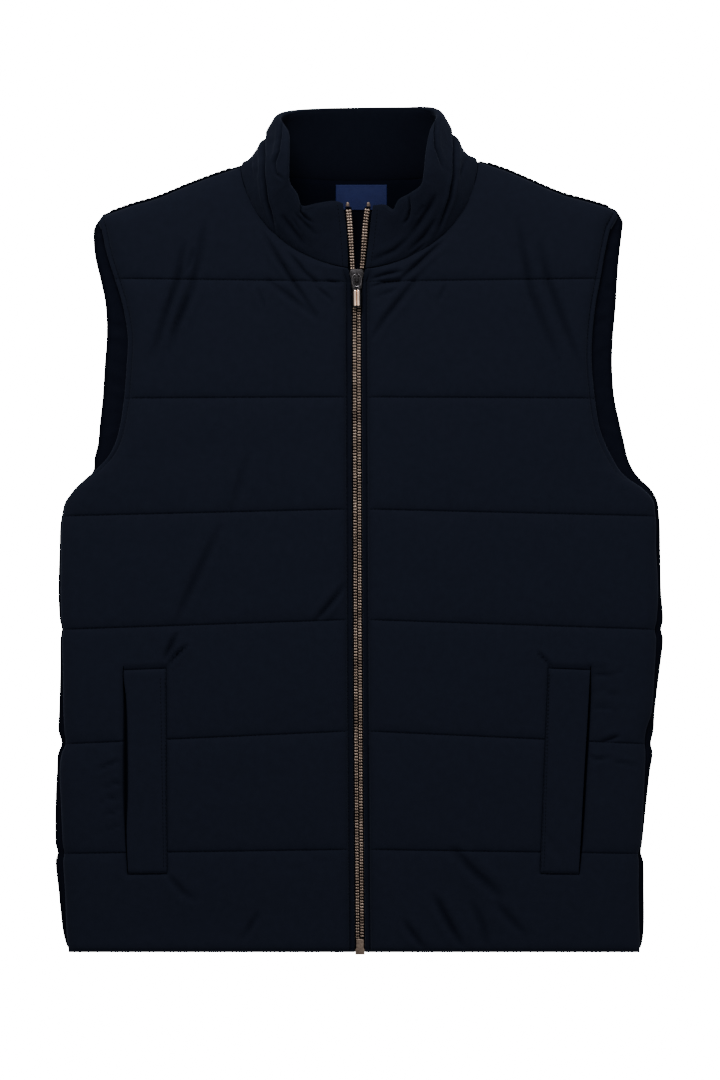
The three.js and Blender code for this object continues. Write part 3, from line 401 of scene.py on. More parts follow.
def cloth_grid(bm, across, along):
    """Makes a grid with an array of its vertices, as rows from the first along to the last."""
    made = bmesh.ops.create_grid(bm, x_segments=across, y_segments=along, size=1.0)["verts"]
    verts = np.empty((along + 1, across + 1), object)
    for vert in made:
        column = round((vert.co.x + 1) / 2 * across)
        row = round((vert.co.y + 1) / 2 * along)
        verts[row, column] = vert
    return verts


def place(verts, x, y, z):
    """Puts each vertex where three arrays in millimetres say."""
    x, y, z = np.broadcast_arrays(x, y, z)
    for vert, px, py, pz in zip(verts.flat, x.flat, y.flat, z.flat):
        vert.co = (px * MM, py * MM, pz * MM)


def shade(bm, verts, share):
    """Marks painted shade: how far each vertex turns to the dark shade colour, from 0 to 1."""
    layer = bm.verts.layers.float.get("painted_shade")
    for vert, value in zip(verts.flat, np.broadcast_to(share, verts.shape).flat):
        vert[layer] = value


def lay_pattern(bm, verts, across, along):
    """Gives each vertex its place on the cloth, in metres, as the piece's own map."""
    layer = bm.loops.layers.uv.new("cloth")
    across, along = np.broadcast_arrays(across, along)
    places = {v: (a * MM, b * MM) for v, a, b in zip(verts.flat, across.flat, along.flat)}
    for face in bm.faces:
        for loop in face.loops:
            loop[layer].uv = places.get(loop.vert, (loop.vert.co.x, loop.vert.co.y))


def outline_edges(bm):
    return [edge for edge in bm.edges if edge.is_boundary]


def placed_object(name, mesh, finish, body):
    """Puts a mesh in the scene as a finished object that rides on a body."""
    piece = bpy.data.objects.new(name, mesh)
    bpy.context.scene.collection.objects.link(piece)
    mesh.materials.append(finish)
    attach(piece, body)
    return piece


def new_piece(name, bm, finish, body):
    """Turns a bmesh into a smooth, finished object."""
    mesh = bpy.data.meshes.new(name)
    for face in bm.faces:
        face.smooth = True
    bm.to_mesh(mesh)
    bm.free()
    return placed_object(name, mesh, finish, body)


def joined_copies(name, template, places, finish, body):
    """One mesh that holds a copy of a small template at each matrix."""
    template.verts.index_update()
    points = np.array([[*v.co, 1.0] for v in template.verts])
    faces = [[v.index for v in face.verts] for face in template.faces]
    template.free()
    stacked = np.array([np.array(m) for m in places])
    verts = np.einsum("nij,vj->nvi", stacked, points)[:, :, :3].reshape(-1, 3)
    count = len(points)
    all_faces = [[i + k * count for i in face] for k in range(len(places)) for face in faces]
    mesh = bpy.data.meshes.new(name)
    mesh.from_pydata(verts.tolist(), [], all_faces)
    mesh.polygons.foreach_set("use_smooth", [True] * len(mesh.polygons))
    mesh.update()
    return placed_object(name, mesh, finish, body)


def round_edges(bm, edges, width, segments, clamped=False):
    bmesh.ops.bevel(
        bm, geom=edges, offset=width * MM, segments=segments, profile=0.5, material=-1, affect="EDGES",
        clamp_overlap=clamped,
    )


def worked_copy(name, node, width, segments, finish, body):
    """A hard piece in place of a CAD node: its own shape, merged, with its sharp edges rounded."""
    bm = bmesh.new()
    bm.from_mesh(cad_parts[node].data)
    bmesh.ops.remove_doubles(bm, verts=bm.verts, dist=0.00001)
    bmesh.ops.dissolve_limit(bm, angle_limit=math.radians(4), verts=bm.verts, edges=bm.edges)
    sharp = [e for e in bm.edges if len(e.link_faces) == 2 and e.calc_face_angle(0) > math.radians(28)]
    round_edges(bm, sharp, width, segments, clamped=True)
    piece = new_piece(name, bm, finish, body)
    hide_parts(node)
    return piece


# The fronts' surface

CHANNEL_ROWS = 52
YOKE_ROWS = 84
YOKE_FAN = {"rows": 12, "spread": 0.9, "last_turn": 87}
# The angle round the neck at which each front's own edge reaches it
FIRST_TURN = {-1: 7, 1: 4}
# The channels in which a pocket starts and ends, and how far up each
POCKET_ENDS = ((0, 0.795), (2, 0.626))
# How strongly rows crowd towards the seams
CROWDING = {"channel": 0.75, "yoke": 0.5}
SLIT_BED = 1.0
# The slit beyond each welt: how far its free edge is pulled in, and how wide the slit gapes there
SLITS = {
    -1: table(
        "y pulled width",
        (-317.5, 0.7, 0.8), (-282.7, -0.3, 2.0), (-242.7, 1.6, 5.7), (-183.2, 1.5, 4.8), (-158, 0.5, 3.4),
        (-138.6, -1.8, 0.9), (-128.5, -1.4, 0.8),
    ),
    1: table(
        "y pulled width",
        (-317.5, 0.3, 0.8), (-290, 0.2, 2.4), (-233.4, 0.2, 3.0), (-160, -0.2, 2.6), (-128.5, -0.2, 0.8),
    ),
}
SIDE_RISE = 16.0
# The folded lip beside the zip, and how the padded body rises behind it
LIP = {
    "edge": 1.3, "thickness": 3.6, "turn": 1.6, "crown": 0.5, "crown_width": 4.8, "flat": 5.0,
    "body_edge": 5.2, "body_from": 5.2, "body_rise": 18.0,
}
NECK_THICKNESS = 7.6
# Above this height an armhole's edge is bound: shares of the thickness at the edge and on the binding
ARMHOLE = {"y": 44.0, "over": 20, "edge": 0.16, "binding": 0.22, "binding_width": 4.4}
# The share of its rise that the hem makes in the first 2 mm. It makes the rest in 10 mm.
HEM_TURN = 0.3
YOKE_END = {"row_length": 62, "rise": 15}
# The loose middle of a front starts this far from its edges.
LOOSE_FROM = {"side": 20, "zip": 26}
OVER_CREST = 0.3
THINNEST = 0.9
# How the padding swells from a quilting seam: a steep part, then a gentle one
QUILTING = {"steep": 0.55, "steep_reach": 3.4, "gentle_power": 2.6, "yoke_reach": 46.0}
PUCKERS = {"pitch": 8.5, "sway": 2.0, "sway_size": 40, "reach": 7.0, "start": 1.2, "uneven_size": 70}
# Uneven swells in the loose middle of a front: their size and depth
SWELLS = table("size depth", (62, 0.42), (21, 0.16))
# How far inside each edge its line of stitching runs
STITCHED_IN = {"zip": 5.1, "armhole": 4.7, "hem": 3.0}
# Painted shade: how far creases, and the turn beside the zip, turn to the dark shade colour
FRONT_SHADE = {"crease": 0.3, "beside_zip": 0.34}
# The front sinks towards the pocket's bed, this far round it
POCKET_DIP = {"reach": 2.2, "above_bed": 2.1}


def spaced(*runs):
    """Places from 0 to 1, from runs of (how many steps, how large)."""
    gaps = np.concatenate([np.full(count, float(size)) for count, size in runs])
    places = np.concatenate([[0.0], np.cumsum(gaps)])
    return places / places[-1]


ACROSS_BODY = spaced((10, 0.65), (8, 1.2), (86, 1.8), (4, 1.0))
ACROSS_WELT = spaced((3, 1.0), (14, 2.0), (3, 1.0))
ACROSS_SLIT = spaced((3, 1.0))
ACROSS_SIDE = spaced((2, 1.0), (18, 2.0), (9, 0.9), (6, 0.45))
SEWN_COLUMN = len(ACROSS_BODY) - 1
FREE_COLUMN = SEWN_COLUMN + len(ACROSS_WELT) - 1
SLIT_COLUMN = FREE_COLUMN + len(ACROSS_SLIT) - 1


def welt_share(side, edge, y):
    """How far across a front the welt's edge lies. Above the pocket it stays so."""
    welt = WELTS[0 if side < 0 else 1]
    level = np.clip(y, welt["bottom"] - 24, welt["top"])
    part = (level - welt["bottom"]) / (welt["top"] - welt["bottom"])
    x = mix(welt[edge + "_bottom"], welt[edge + "_top"], part)
    if edge == "free":
        x = x - side * read(SLITS[side], "y", y, "pulled")
    inner = zip_x(level) + side * HALF_OPENING
    return (x - inner) / (read(SIDES, "y", level, sided("front", side)) - inner)


def front_rows(side):
    """Each row's ends, its place in its channel and its channel, from hem to shoulder."""
    steps = np.arange(CHANNEL_ROWS) / CHANNEL_ROWS
    phases = steps - CROWDING["channel"] * np.sin(2 * math.pi * steps) / (2 * math.pi)
    rows = []
    for channel in range(len(SEAMS) - 1):
        here = phases.copy()
        for pocket_channel, height in POCKET_ENDS:
            if pocket_channel == channel:
                here[np.argmin(np.abs(here - height))] = height
        for phase in here:
            inner_y = mix(SEAMS[channel]["zip"], SEAMS[channel + 1]["zip"], phase)
            outer_y = mix(SEAMS[channel]["side"], SEAMS[channel + 1]["side"], phase)
            rows.append((zip_x(inner_y) + side * HALF_OPENING, inner_y, outer_y, phase, channel, 0.0))
    tip = SHOULDER["right_tip_y" if side < 0 else "left_tip_y"] - FRONT_SHOULDER_INSET
    start = (float(zip_x(SEAMS[-1]["zip"])) + side * HALF_OPENING, SEAMS[-1]["zip"])
    for step in range(YOKE_ROWS + 1):
        part = step / YOKE_ROWS
        share = part - CROWDING["yoke"] * math.sin(2 * math.pi * part) / (2 * math.pi)
        fan = share * YOKE_FAN["rows"]
        around = max(0.0, (fan - 1) / (YOKE_FAN["rows"] - 1)) ** YOKE_FAN["spread"]
        turn = mix(FIRST_TURN[side], YOKE_FAN["last_turn"], around)
        neck_x, neck_y = neck_line(turn, 0)
        on_neck = min(1.0, fan)
        inner_x = mix(start[0], float(side * neck_x), on_neck)
        inner_y = mix(start[1], float(neck_y + neck_lift(side, turn)), on_neck)
        outer_y = mix(SEAMS[-1]["side"], tip, share)
        rows.append((inner_x, inner_y, outer_y, share, len(SEAMS) - 1, on_neck))
    return np.array(rows, float)


def front_surface(side, settings):
    """A front's upper surface, as rows from hem to shoulder. Each row runs from the zip to the side."""
    inner_x, inner_y, outer_y, phase, channel, on_neck = front_rows(side).T[:, :, None]
    outer_x = read(SIDES, "y", outer_y, sided("front", side))
    sewn = welt_share(side, "sewn", outer_y)
    free = welt_share(side, "free", outer_y)
    slit = free + read(SLITS[side], "y", outer_y, "width") / np.abs(outer_x - inner_x)
    share = np.concatenate([
        ACROSS_BODY * sewn,
        mix(sewn, free, ACROSS_WELT[1:]),
        mix(free, slit, ACROSS_SLIT[1:]),
        mix(slit, 1.0, ACROSS_SIDE[1:]),
    ], axis=1)
    x = mix(inner_x, outer_x, share)
    y = mix(inner_y, outer_y, share)
    # The yoke's upper rows bend towards the shoulder's own line.
    yoke = channel == len(SEAMS) - 1
    to_line = shoulder_line(x[-1]) - FRONT_SHOULDER_INSET - y[-1]
    y = y + np.where(yoke, phase**3, 0) * to_line[None, :]
    from_inner = np.hypot(x - inner_x, y - inner_y)
    from_outer = np.abs(outer_x - x)
    spans = np.diff([seam["zip"] for seam in SEAMS])
    height = spans[np.minimum(channel, len(spans) - 1).astype(int)]
    seam_above = np.where(yoke, 1e3, (1 - phase) * height)
    top_seam = mix(SEAMS[-1]["zip"], SEAMS[-1]["side"], share)
    seam_below = np.where(yoke, np.maximum(0.0, y - top_seam), phase * height)
    hem_channel = channel == 0
    from_seam = np.where(hem_channel, seam_above, np.minimum(seam_above, seam_below))

    # The padding swells steeply from a seam, then gently to the middle of its channel.
    power = QUILTING["gentle_power"]
    plump = 1 - np.abs(2 * phase - 1) ** power
    plump = np.where(yoke, 1 - np.maximum(0.0, 1 - seam_below / QUILTING["yoke_reach"]) ** power, plump)
    plump = np.where(hem_channel & (phase < 0.5), 1.0, plump)
    steep = 1 - np.exp(-from_seam / QUILTING["steep_reach"])
    swell = mix(plump, steep, QUILTING["steep"])
    full = mix(settings.seam_thickness, CREST, swell)
    seed = 11 if side < 0 else 23
    sway = PUCKERS["sway"] * waves(x, y * 0, PUCKERS["sway_size"], seed + 1)
    pucker = np.sin(2 * math.pi * x / PUCKERS["pitch"] + sway)
    pucker = pucker * np.exp(-from_seam / PUCKERS["reach"]) * (1 - np.exp(-from_seam / PUCKERS["start"]))
    uneven = 0.6 + 0.4 * waves(x, y * 0, PUCKERS["uneven_size"], seed + 2)
    full = full + settings.pucker_depth * pucker * uneven
    full = full - groove(from_seam, "seam")
    loose = clamp01(from_outer / LOOSE_FROM["side"]) * clamp01(from_inner / LOOSE_FROM["zip"])
    for number, swells in enumerate(SWELLS):
        full = full + swells["depth"] * waves(x, y, swells["size"], seed + 3 + number) * loose
    folds = creased(x, y, CREASES)
    full = np.minimum(full, CREST + OVER_CREST) - folds * settings.crease_depth
    # Painted shade in the creases and on the turn beside the zip
    beside_zip = (1 - dome((from_inner - LIP["flat"]) / 4.0)) * (1 - on_neck)
    shaded = clamp01(folds * FRONT_SHADE["crease"]) + FRONT_SHADE["beside_zip"] * beside_zip

    # Zip lip: a folded edge and the line of stitching that holds the tape
    crown = LIP["crown"] * np.sin(math.pi * clamp01(from_inner / LIP["crown_width"]))
    lip = mix(LIP["edge"], LIP["thickness"], dome(from_inner / LIP["turn"])) + crown
    body = mix(LIP["body_edge"], full, dome((from_inner - LIP["body_from"]) / LIP["body_rise"]))
    on_zip = np.where(from_inner < LIP["flat"], lip, body) - groove(from_inner - STITCHED_IN["zip"], "zip")
    at_neck = mix(NECK_THICKNESS, full, dome(from_inner / LIP["body_rise"]))
    thickness = mix(on_zip, at_neck, on_neck)

    # Side, armhole and hem
    armhole = clamp01((y - ARMHOLE["y"]) / ARMHOLE["over"])
    rise = dome(from_outer / SIDE_RISE)
    inside = dome((from_outer - ARMHOLE["binding_width"]) / SIDE_RISE)
    bound = ARMHOLE["edge"] + ARMHOLE["binding"] * dome(from_outer / 2)
    bound = bound + (1 - ARMHOLE["edge"] - ARMHOLE["binding"]) * inside
    thickness = mix(EDGE, thickness, mix(rise, bound, armhole))
    thickness = thickness - armhole * groove(from_outer - STITCHED_IN["armhole"], "armhole")
    from_hem = y - HEM_Y
    hem_rise = mix(dome(from_hem / 10), dome(from_hem / 2), HEM_TURN)
    thickness = mix(EDGE, thickness, np.where(hem_channel, hem_rise, 1.0))
    thickness = thickness - groove(from_hem - STITCHED_IN["hem"], "hem")
    from_shoulder = np.where(yoke, (1 - phase) * YOKE_END["row_length"], 1e3)
    thickness = mix(EDGE, thickness, dome(from_shoulder / YOKE_END["rise"]))

    # The pocket's bed, and the slit beyond the welt's free edge
    bottom = int(np.argmin(np.abs(phase[:CHANNEL_ROWS, 0] - POCKET_ENDS[0][1])))
    top_start = POCKET_ENDS[1][0] * CHANNEL_ROWS
    top_phases = phase[top_start : top_start + CHANNEL_ROWS, 0]
    top = top_start + int(np.argmin(np.abs(top_phases - POCKET_ENDS[1][1])))
    row = np.arange(len(phase))[:, None]
    past_end = np.maximum(0, np.maximum(y[bottom] - y, y - y[top]))
    past_sewn = np.abs(x[:, SEWN_COLUMN, None]) - np.abs(x)
    past_slit = np.abs(x) - np.abs(x[:, SLIT_COLUMN, None])
    past_side = np.maximum(0, np.maximum(past_sewn, past_slit))
    beside = np.exp(-((np.hypot(past_end, past_side) / POCKET_DIP["reach"]) ** 2))
    thickness = mix(thickness, np.minimum(thickness, WELT_BED + POCKET_DIP["above_bed"]), beside)
    column = np.arange(x.shape[1])[None, :]
    pocket_rows = (row >= bottom) & (row <= top)
    in_bed = pocket_rows & (column >= SEWN_COLUMN) & (column <= FREE_COLUMN)
    in_slit = pocket_rows & (column > FREE_COLUMN) & (column < SLIT_COLUMN)
    thickness = np.where(in_bed, WELT_BED, np.where(in_slit, SLIT_BED, thickness))
    thickness = np.maximum(thickness, THINNEST)
    seam_rows = [CHANNEL_ROWS * k for k in range(1, len(SEAMS))]
    # The slit beyond a welt is painted fully dark as shade.
    return {
        "x": x, "y": y, "z": FRONT_BASE + thickness, "from_inner": from_inner, "from_outer": from_outer,
        "bottom": bottom, "top": top, "seam_rows": seam_rows,
        "shaded": np.maximum(in_slit * 1.0, clamp01(shaded)),
    }


def close_below(bm, base, inset_by):
    """Turns an open surface into a closed body with a flat foot."""
    rim = outline_edges(bm)
    made = bmesh.ops.extrude_edge_only(bm, edges=rim)["geom"]
    foot = [g for g in made if isinstance(g, bmesh.types.BMVert)]
    loop = [e for e in made if isinstance(e, bmesh.types.BMEdge) and e.is_boundary]
    centre = Vector((sum(v.co.x for v in foot) / len(foot), sum(v.co.y for v in foot) / len(foot), 0))
    moves = {}
    for vert in foot:
        ends = [e.other_vert(vert) for e in vert.link_edges if e.is_boundary]
        along = (ends[0].co - ends[1].co).xy.normalized()
        inward = Vector((-along.y, along.x))
        if inward.dot((centre - vert.co).xy) < 0:
            inward = -inward
        moves[vert] = inward * inset_by * MM
    for vert, move in moves.items():
        vert.co.x += move.x
        vert.co.y += move.y
        vert.co.z = base * MM
    bmesh.ops.triangle_fill(bm, use_beauty=False, use_dissolve=False, edges=loop, normal=(0, 0, -1))
    bmesh.ops.recalc_face_normals(bm, faces=bm.faces)


def closed_cloth(name, grid, base, inset_by, finish, shaded=None, pattern=None):
    """Cloth with a grid of points in millimetres as its upper side, over a flat foot."""
    x, y, z = grid
    bm = bmesh.new()
    if shaded is not None:
        bm.verts.layers.float.new("painted_shade")
    verts = cloth_grid(bm, x.shape[1] - 1, x.shape[0] - 1)
    place(verts, x, y, z)
    if shaded is not None:
        shade(bm, verts, shaded)
    close_below(bm, base, inset_by)
    lay_pattern(bm, verts, *(pattern or (x, y)))
    return new_piece(name, bm, finish, "garment")


def front_piece(side, settings, finish):
    name = sided("front", side)
    surface = front_surface(side, settings)
    grid = [surface[axis] for axis in "xyz"]
    shaded = surface["shaded"]
    piece = closed_cloth("quilted_" + name, grid, FRONT_BASE, 1.2, finish, shaded)
    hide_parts(name)
    return piece


WELT_FIT = {"clearance": GAP, "edge": 2.2, "crown": 4.2}
WELT_STITCHED_IN = 0.7
# Shares of a welt's full swell: at its free edge and at its ends
WELT_SWELL = {"free_edge": 0.55, "ends": 0.45}
# How far inside each welt's sewn edge its second line of stitching runs, at the bottom and the top
SECOND_LINE = {-1: (2.8, 4.9), 1: (3.3, 1.0)}
WELT_CREASES = (fold(3.2, 1.3, (170, -276), (178, -290), (187, -306)),)


def second_line(side, y):
    """The second line's distance from the welt's sewn edge at y."""
    welt = WELTS[0 if side < 0 else 1]
    part = (y - welt["bottom"]) / (welt["top"] - welt["bottom"])
    return mix(*SECOND_LINE[side], part)


def welt_surface(side, settings):
    """The welt's upper surface, on the front's own points."""
    front = front_surface(side, settings)
    rows = slice(front["bottom"], front["top"] + 1)
    columns = slice(SEWN_COLUMN, FREE_COLUMN + 1)
    x, y = front["x"][rows, columns], front["y"][rows, columns]
    across = np.abs(x - x[:, :1])
    width = np.abs(x[:, -1:] - x[:, :1])
    from_end = np.minimum(np.abs(y - y[:1]), np.abs(y - y[-1:]))
    swell = dome(across / 5) * mix(WELT_SWELL["free_edge"], 1.0, dome((width - across) / 7))
    swell = swell * mix(WELT_SWELL["ends"], 1.0, dome(from_end / 6))
    rise = mix(WELT_FIT["edge"], WELT_FIT["crown"], swell)
    rise = rise + 0.28 * waves(x, y, 34, 5 if side < 0 else 8) * clamp01(across / 9) * clamp01(from_end / 12)
    rise = rise - groove(across - second_line(side, y), "welt")
    if side > 0:
        rise = rise - creased(x, y, WELT_CREASES)
    bed = FRONT_BASE + WELT_BED + WELT_FIT["clearance"]
    return {"x": x, "y": y, "z": bed + np.maximum(rise, 1.0), "across": across, "bed": bed}


def welt_piece(side, settings, finish):
    name = sided("pocket_welt", side)
    surface = welt_surface(side, settings)
    grid = [surface[axis] for axis in "xyz"]
    # The weave on a welt is turned by a right angle.
    turned = (surface["y"], surface["x"])
    piece = closed_cloth("padded_" + name, grid, surface["bed"], 0.4, finish, pattern=turned)
    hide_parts(name)
    return piece


# The back

BACK_ROWS = 180
BACK_COLUMNS = 180
BACK_TOP_ROW = 268.0
BACK_UNDER_COLLAR = 2.4
BACK_CORNER = 7.0
BACK_RIM = {"edge": 4.5, "rise": 6.0, "foot": 1.6}
# Small ribs along the armholes: their middle line, reach, start, depth and size
BACK_RIBS = {"x": 230, "reach": 26, "from_y": 60, "depth": 0.5, "size": 9}
# Beside the neck the back reaches further under the collar.
BACK_BESIDE_NECK = {"right": 0.8, "left": 3.4, "from_x": 88, "over": 20}
# The upper corners end here. They round over by this share of the height above the armholes.
BACK_TIP = {"y": 296.5, "rounding": 0.7}
# The stretches at each end of a shoulder that have no gathered edge in front of them
BARE_ENDS = {"neck": 0.095, "tip": 0.92}
# Inside the neck the back lies in shadow, and under the fronts' edges too.
NECK_SHADOW = {"half_width": 112, "fade": 8, "from_y": 236, "fade_y": 10, "share": 0.7}
RIM_SHADOW = {"reach": 5, "share": 0.8}
BACK_CREASES = (
    fold(3.2, 1.6, (-247, 195), (-230, 190), (-214, 184)),
    fold(2.6, 1.3, (-246, 180), (-232, 174), (-214, 171)),
    fold(2.8, 1.4, (-246, 142), (-230, 139), (-216, 133)),
    fold(2.4, 1.2, (-246, 126), (-216, 119)),
    fold(2.6, 1.1, (-247, 224), (-222, 214)),
    fold(2.6, 1.1, (-249, 90), (-222, 97)),
    fold(3.0, 1.5, (246, 203), (230, 197), (214, 189)),
    fold(2.8, 1.3, (246, 170), (230, 166), (214, 159)),
    fold(2.8, 1.4, (248, 126), (232, 130), (216, 135)),
    fold(2.6, 1.2, (250, 92), (222, 101)),
    fold(2.6, 1.1, (246, 230), (222, 219)),
    fold(6.0, 0.8, (-50, 335), (-20, 322)),
    fold(6.0, 0.8, (60, 330), (34, 318)),
)


def back_top(x):
    """The back's top outline: the shoulders' inner line and the neck's curve between them."""
    x = np.asarray(x, float)
    share = (np.abs(x) - SHOULDER["neck_x"]) / (SHOULDER["tip_x"] - SHOULDER["neck_x"])
    shoulder = shoulder_line(x) - BACK_SHOULDER_INSET
    turn = np.linspace(96, 180, 60)
    neck_x = neck_line(turn, -1.6)[0]
    neck_y = NECK["y"] + np.cos(np.radians(turn)) * NECK["back_drop"] + BACK_UNDER_COLLAR
    neck = np.interp(np.abs(x), neck_x[::-1], neck_y[::-1])
    further = np.where(x > 0, BACK_BESIDE_NECK["left"], BACK_BESIDE_NECK["right"])
    neck = neck + further * clamp01((np.abs(x) - BACK_BESIDE_NECK["from_x"]) / BACK_BESIDE_NECK["over"])
    at_ends = (share < BARE_ENDS["neck"]) | (share > BARE_ENDS["tip"])
    line = shoulder + BACK_SHOULDER_INSET - 1.2
    return np.where(share < 0, neck, np.where(at_ends, line, shoulder))


def back_piece(finish):
    rows = spaced((8, 0.6), (BACK_ROWS, 3.6))
    columns = spaced((8, 0.7), (14, 2.6), (BACK_COLUMNS - 44, 4.0), (14, 2.6), (8, 0.7))[None, :]
    low_y = mix(HEM_Y, BACK_TOP_ROW, rows)[:, None]
    low = mix(read(SIDES, "y", low_y, "back_right"), read(SIDES, "y", low_y, "back_left"), columns)
    corner = BACK_CORNER * (1 - dome((low_y - HEM_Y) / BACK_CORNER))
    low = np.where(low_y - HEM_Y < BACK_CORNER, low * (1 - corner / 270), low)
    rise = spaced((26, 3.0), (8, 0.7))[1:, None]
    # The upper corners follow the armholes, then round over into the shoulders.
    corner_y = mix(BACK_TOP_ROW, BACK_TIP["y"], rise)
    over = np.maximum(0.0, corner_y - SIDES[-1]["y"])
    right = read(SIDES, "y", corner_y, "back_right") + over * BACK_TIP["rounding"]
    left = read(SIDES, "y", corner_y, "back_left") - over * BACK_TIP["rounding"]
    high_x = mix(right, left, columns)
    high_y = mix(BACK_TOP_ROW, back_top(high_x[-1:]), rise)
    x = np.concatenate([low, np.broadcast_to(high_x, (len(rise), low.shape[1]))])
    y = np.concatenate([np.broadcast_to(low_y, low.shape), high_y])
    edge = np.minimum.reduce([
        np.abs(x - x[:, :1]), np.abs(x - x[:, -1:]), y - HEM_Y, np.abs(np.broadcast_to(y[-1:], y.shape) - y),
    ])
    from_line = np.abs(np.abs(x) - BACK_RIBS["x"])
    ribbed = np.exp(-((from_line / BACK_RIBS["reach"]) ** 2)) * (y > BACK_RIBS["from_y"])
    z = mix(BACK_RIM["edge"], BACK_THICKNESS, dome(edge / BACK_RIM["rise"]))
    ribs = BACK_RIBS["depth"] * (waves(x * 0.35, y, BACK_RIBS["size"], 31) - 1.1) * ribbed * clamp01(edge / 4)
    neck_area = (np.abs(x) < 112) & (y > 240)
    ribs = ribs + 0.4 * (waves(x, y, 46, 37) - 1.0) * neck_area
    z = np.minimum(z + np.minimum(ribs, 0) - creased(x, y, BACK_CREASES), BACK_THICKNESS)
    bm = bmesh.new()
    bm.verts.layers.float.new("painted_shade")
    verts = cloth_grid(bm, x.shape[1] - 1, x.shape[0] - 1)
    place(verts, x, y, np.maximum(z, 1.0))
    # Painted shadow on the back inside the neck, and along its rim under the fronts' edges
    across = 1 - clamp01((np.abs(x) - NECK_SHADOW["half_width"]) / NECK_SHADOW["fade"])
    in_neck = across * clamp01((y - NECK_SHADOW["from_y"]) / NECK_SHADOW["fade_y"]) * NECK_SHADOW["share"]
    at_rim = (1 - clamp01(edge / RIM_SHADOW["reach"])) * RIM_SHADOW["share"]
    shade(bm, verts, np.maximum(in_neck, at_rim))
    rim = outline_edges(bm)
    lower = bmesh.ops.extrude_edge_only(bm, edges=rim)["geom"]
    for vert in [g for g in lower if isinstance(g, bmesh.types.BMVert)]:
        vert.co.z = BACK_RIM["foot"] * MM
    close_below(bm, 0.0, 3.2)
    lay_pattern(bm, verts, x, y)
    piece = new_piece("lined_back", bm, finish, "garment")
    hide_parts("back_panel")
    return piece


# Scallops along a shoulder: how far each reaches and how high it stands, and how much less between two
GATHERS = {
    "count": 21, "first": 0.066, "last": 0.95, "reach": 8.3, "reach_between": 0.6, "crown": 9.0,
    "crown_between": 2.4,
}


def gather_piece(side, finish):
    """The scalloped edge of the back, gathered along the shoulder seam."""
    name = sided("shoulder_gather", side)
    along = np.linspace(0, 1, GATHERS["count"] * 12 + 1)[:, None]
    share = mix(GATHERS["first"], GATHERS["last"], along)
    line_x = side * mix(SHOULDER["neck_x"], SHOULDER["tip_x"], share)
    line_y = shoulder_line(line_x)
    swell = np.abs(np.sin(math.pi * along * GATHERS["count"])) ** 0.7
    around = np.linspace(0, 1, 13)[None, :]
    reach = GATHERS["reach"] - GATHERS["reach_between"] * (1 - swell)
    x = line_x + 0 * around
    y = line_y - 8.2 + reach * np.sin(math.pi * around * 0.5) ** 0.8
    crown = GATHERS["crown"] - GATHERS["crown_between"] * (1 - swell)
    z = crown * np.cos(math.pi * around * 0.5) ** 0.4 + 0 * along
    z = np.where(around >= 1, 0.6, z)
    # The gathered edge is painted almost fully dark as shade
    piece = closed_cloth("edge_" + name, (x, y, z), 0.0, 0.2, finish, shaded=0.9)
    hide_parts(name)
    return piece


# The collar

COLLAR_AROUND = 440
# How far the collar stands inside the neck seam, beside the fronts and behind. It closes up towards the zip.
COLLAR_MARGIN = {"front": 2.3, "back": 0.9, "closes_up": 1.7, "before_turn": 34}
COLLAR_SEAM_LIFT = 2.2
# The wall grows from the seam over this share of the height. It thins towards its top and its front ends.
COLLAR_SHAPE = {"grown_by": 0.2, "at_top": 0.72, "top_share": 0.16, "at_front": 0.5, "front_turns": 4.5}
# Uneven ripples in the collar's wall: their depth, size and seed
COLLAR_RIPPLES = table("depth size seed", (0.3, 34, 41), (0.12, 13, 43))
COLLAR_FOLDS = {"deepened": 1.6, "of_wall": 0.68}
# Painted shade on the collar: in its outside folds, beside the zip, and on its inside from the seam to the
# top
COLLAR_SHADE = {"fold": 0.16, "beside_zip": 0.2, "inside_seam": 0.96, "inside_top": 0.68}


def collar_middle(turn, t):
    """Points of the wall's middle, for arrays of turns and heights from 0 at the seam to 1."""
    side = np.where(turn < 180, -1.0, 1.0)
    full_turn = np.minimum(turn, 360 - turn)
    margin = mix(COLLAR_MARGIN["front"], COLLAR_MARGIN["back"], clamp01((full_turn - 80) / 30))
    before = COLLAR_MARGIN["before_turn"]
    margin = margin - COLLAR_MARGIN["closes_up"] * (1 - clamp01((full_turn - before) / before))
    neck_x, neck_y = neck_line(full_turn, margin)
    neck_y = neck_y + neck_lift(side, full_turn)
    parts = []
    # Along the fronts the seam lies almost level with them, so that it shows as a thin line.
    base_z = read(COLLAR, "turn", turn, "base_z") + COLLAR_SEAM_LIFT * clamp01((92 - full_turn) / 14)
    for start, axis in ((side * neck_x, "x"), (neck_y, "y"), (base_z, "z")):
        belly = read(COLLAR, "turn", turn, "belly_" + axis)
        top = read(COLLAR, "turn", turn, "top_" + axis)
        pull = 2 * belly - (start + top) / 2
        parts.append(start * (1 - t) ** 2 + 2 * pull * t * (1 - t) + top * t * t)
    return np.stack(parts, axis=-1)


def unit(v):
    return v / np.maximum(1e-9, np.linalg.norm(v, axis=-1, keepdims=True))


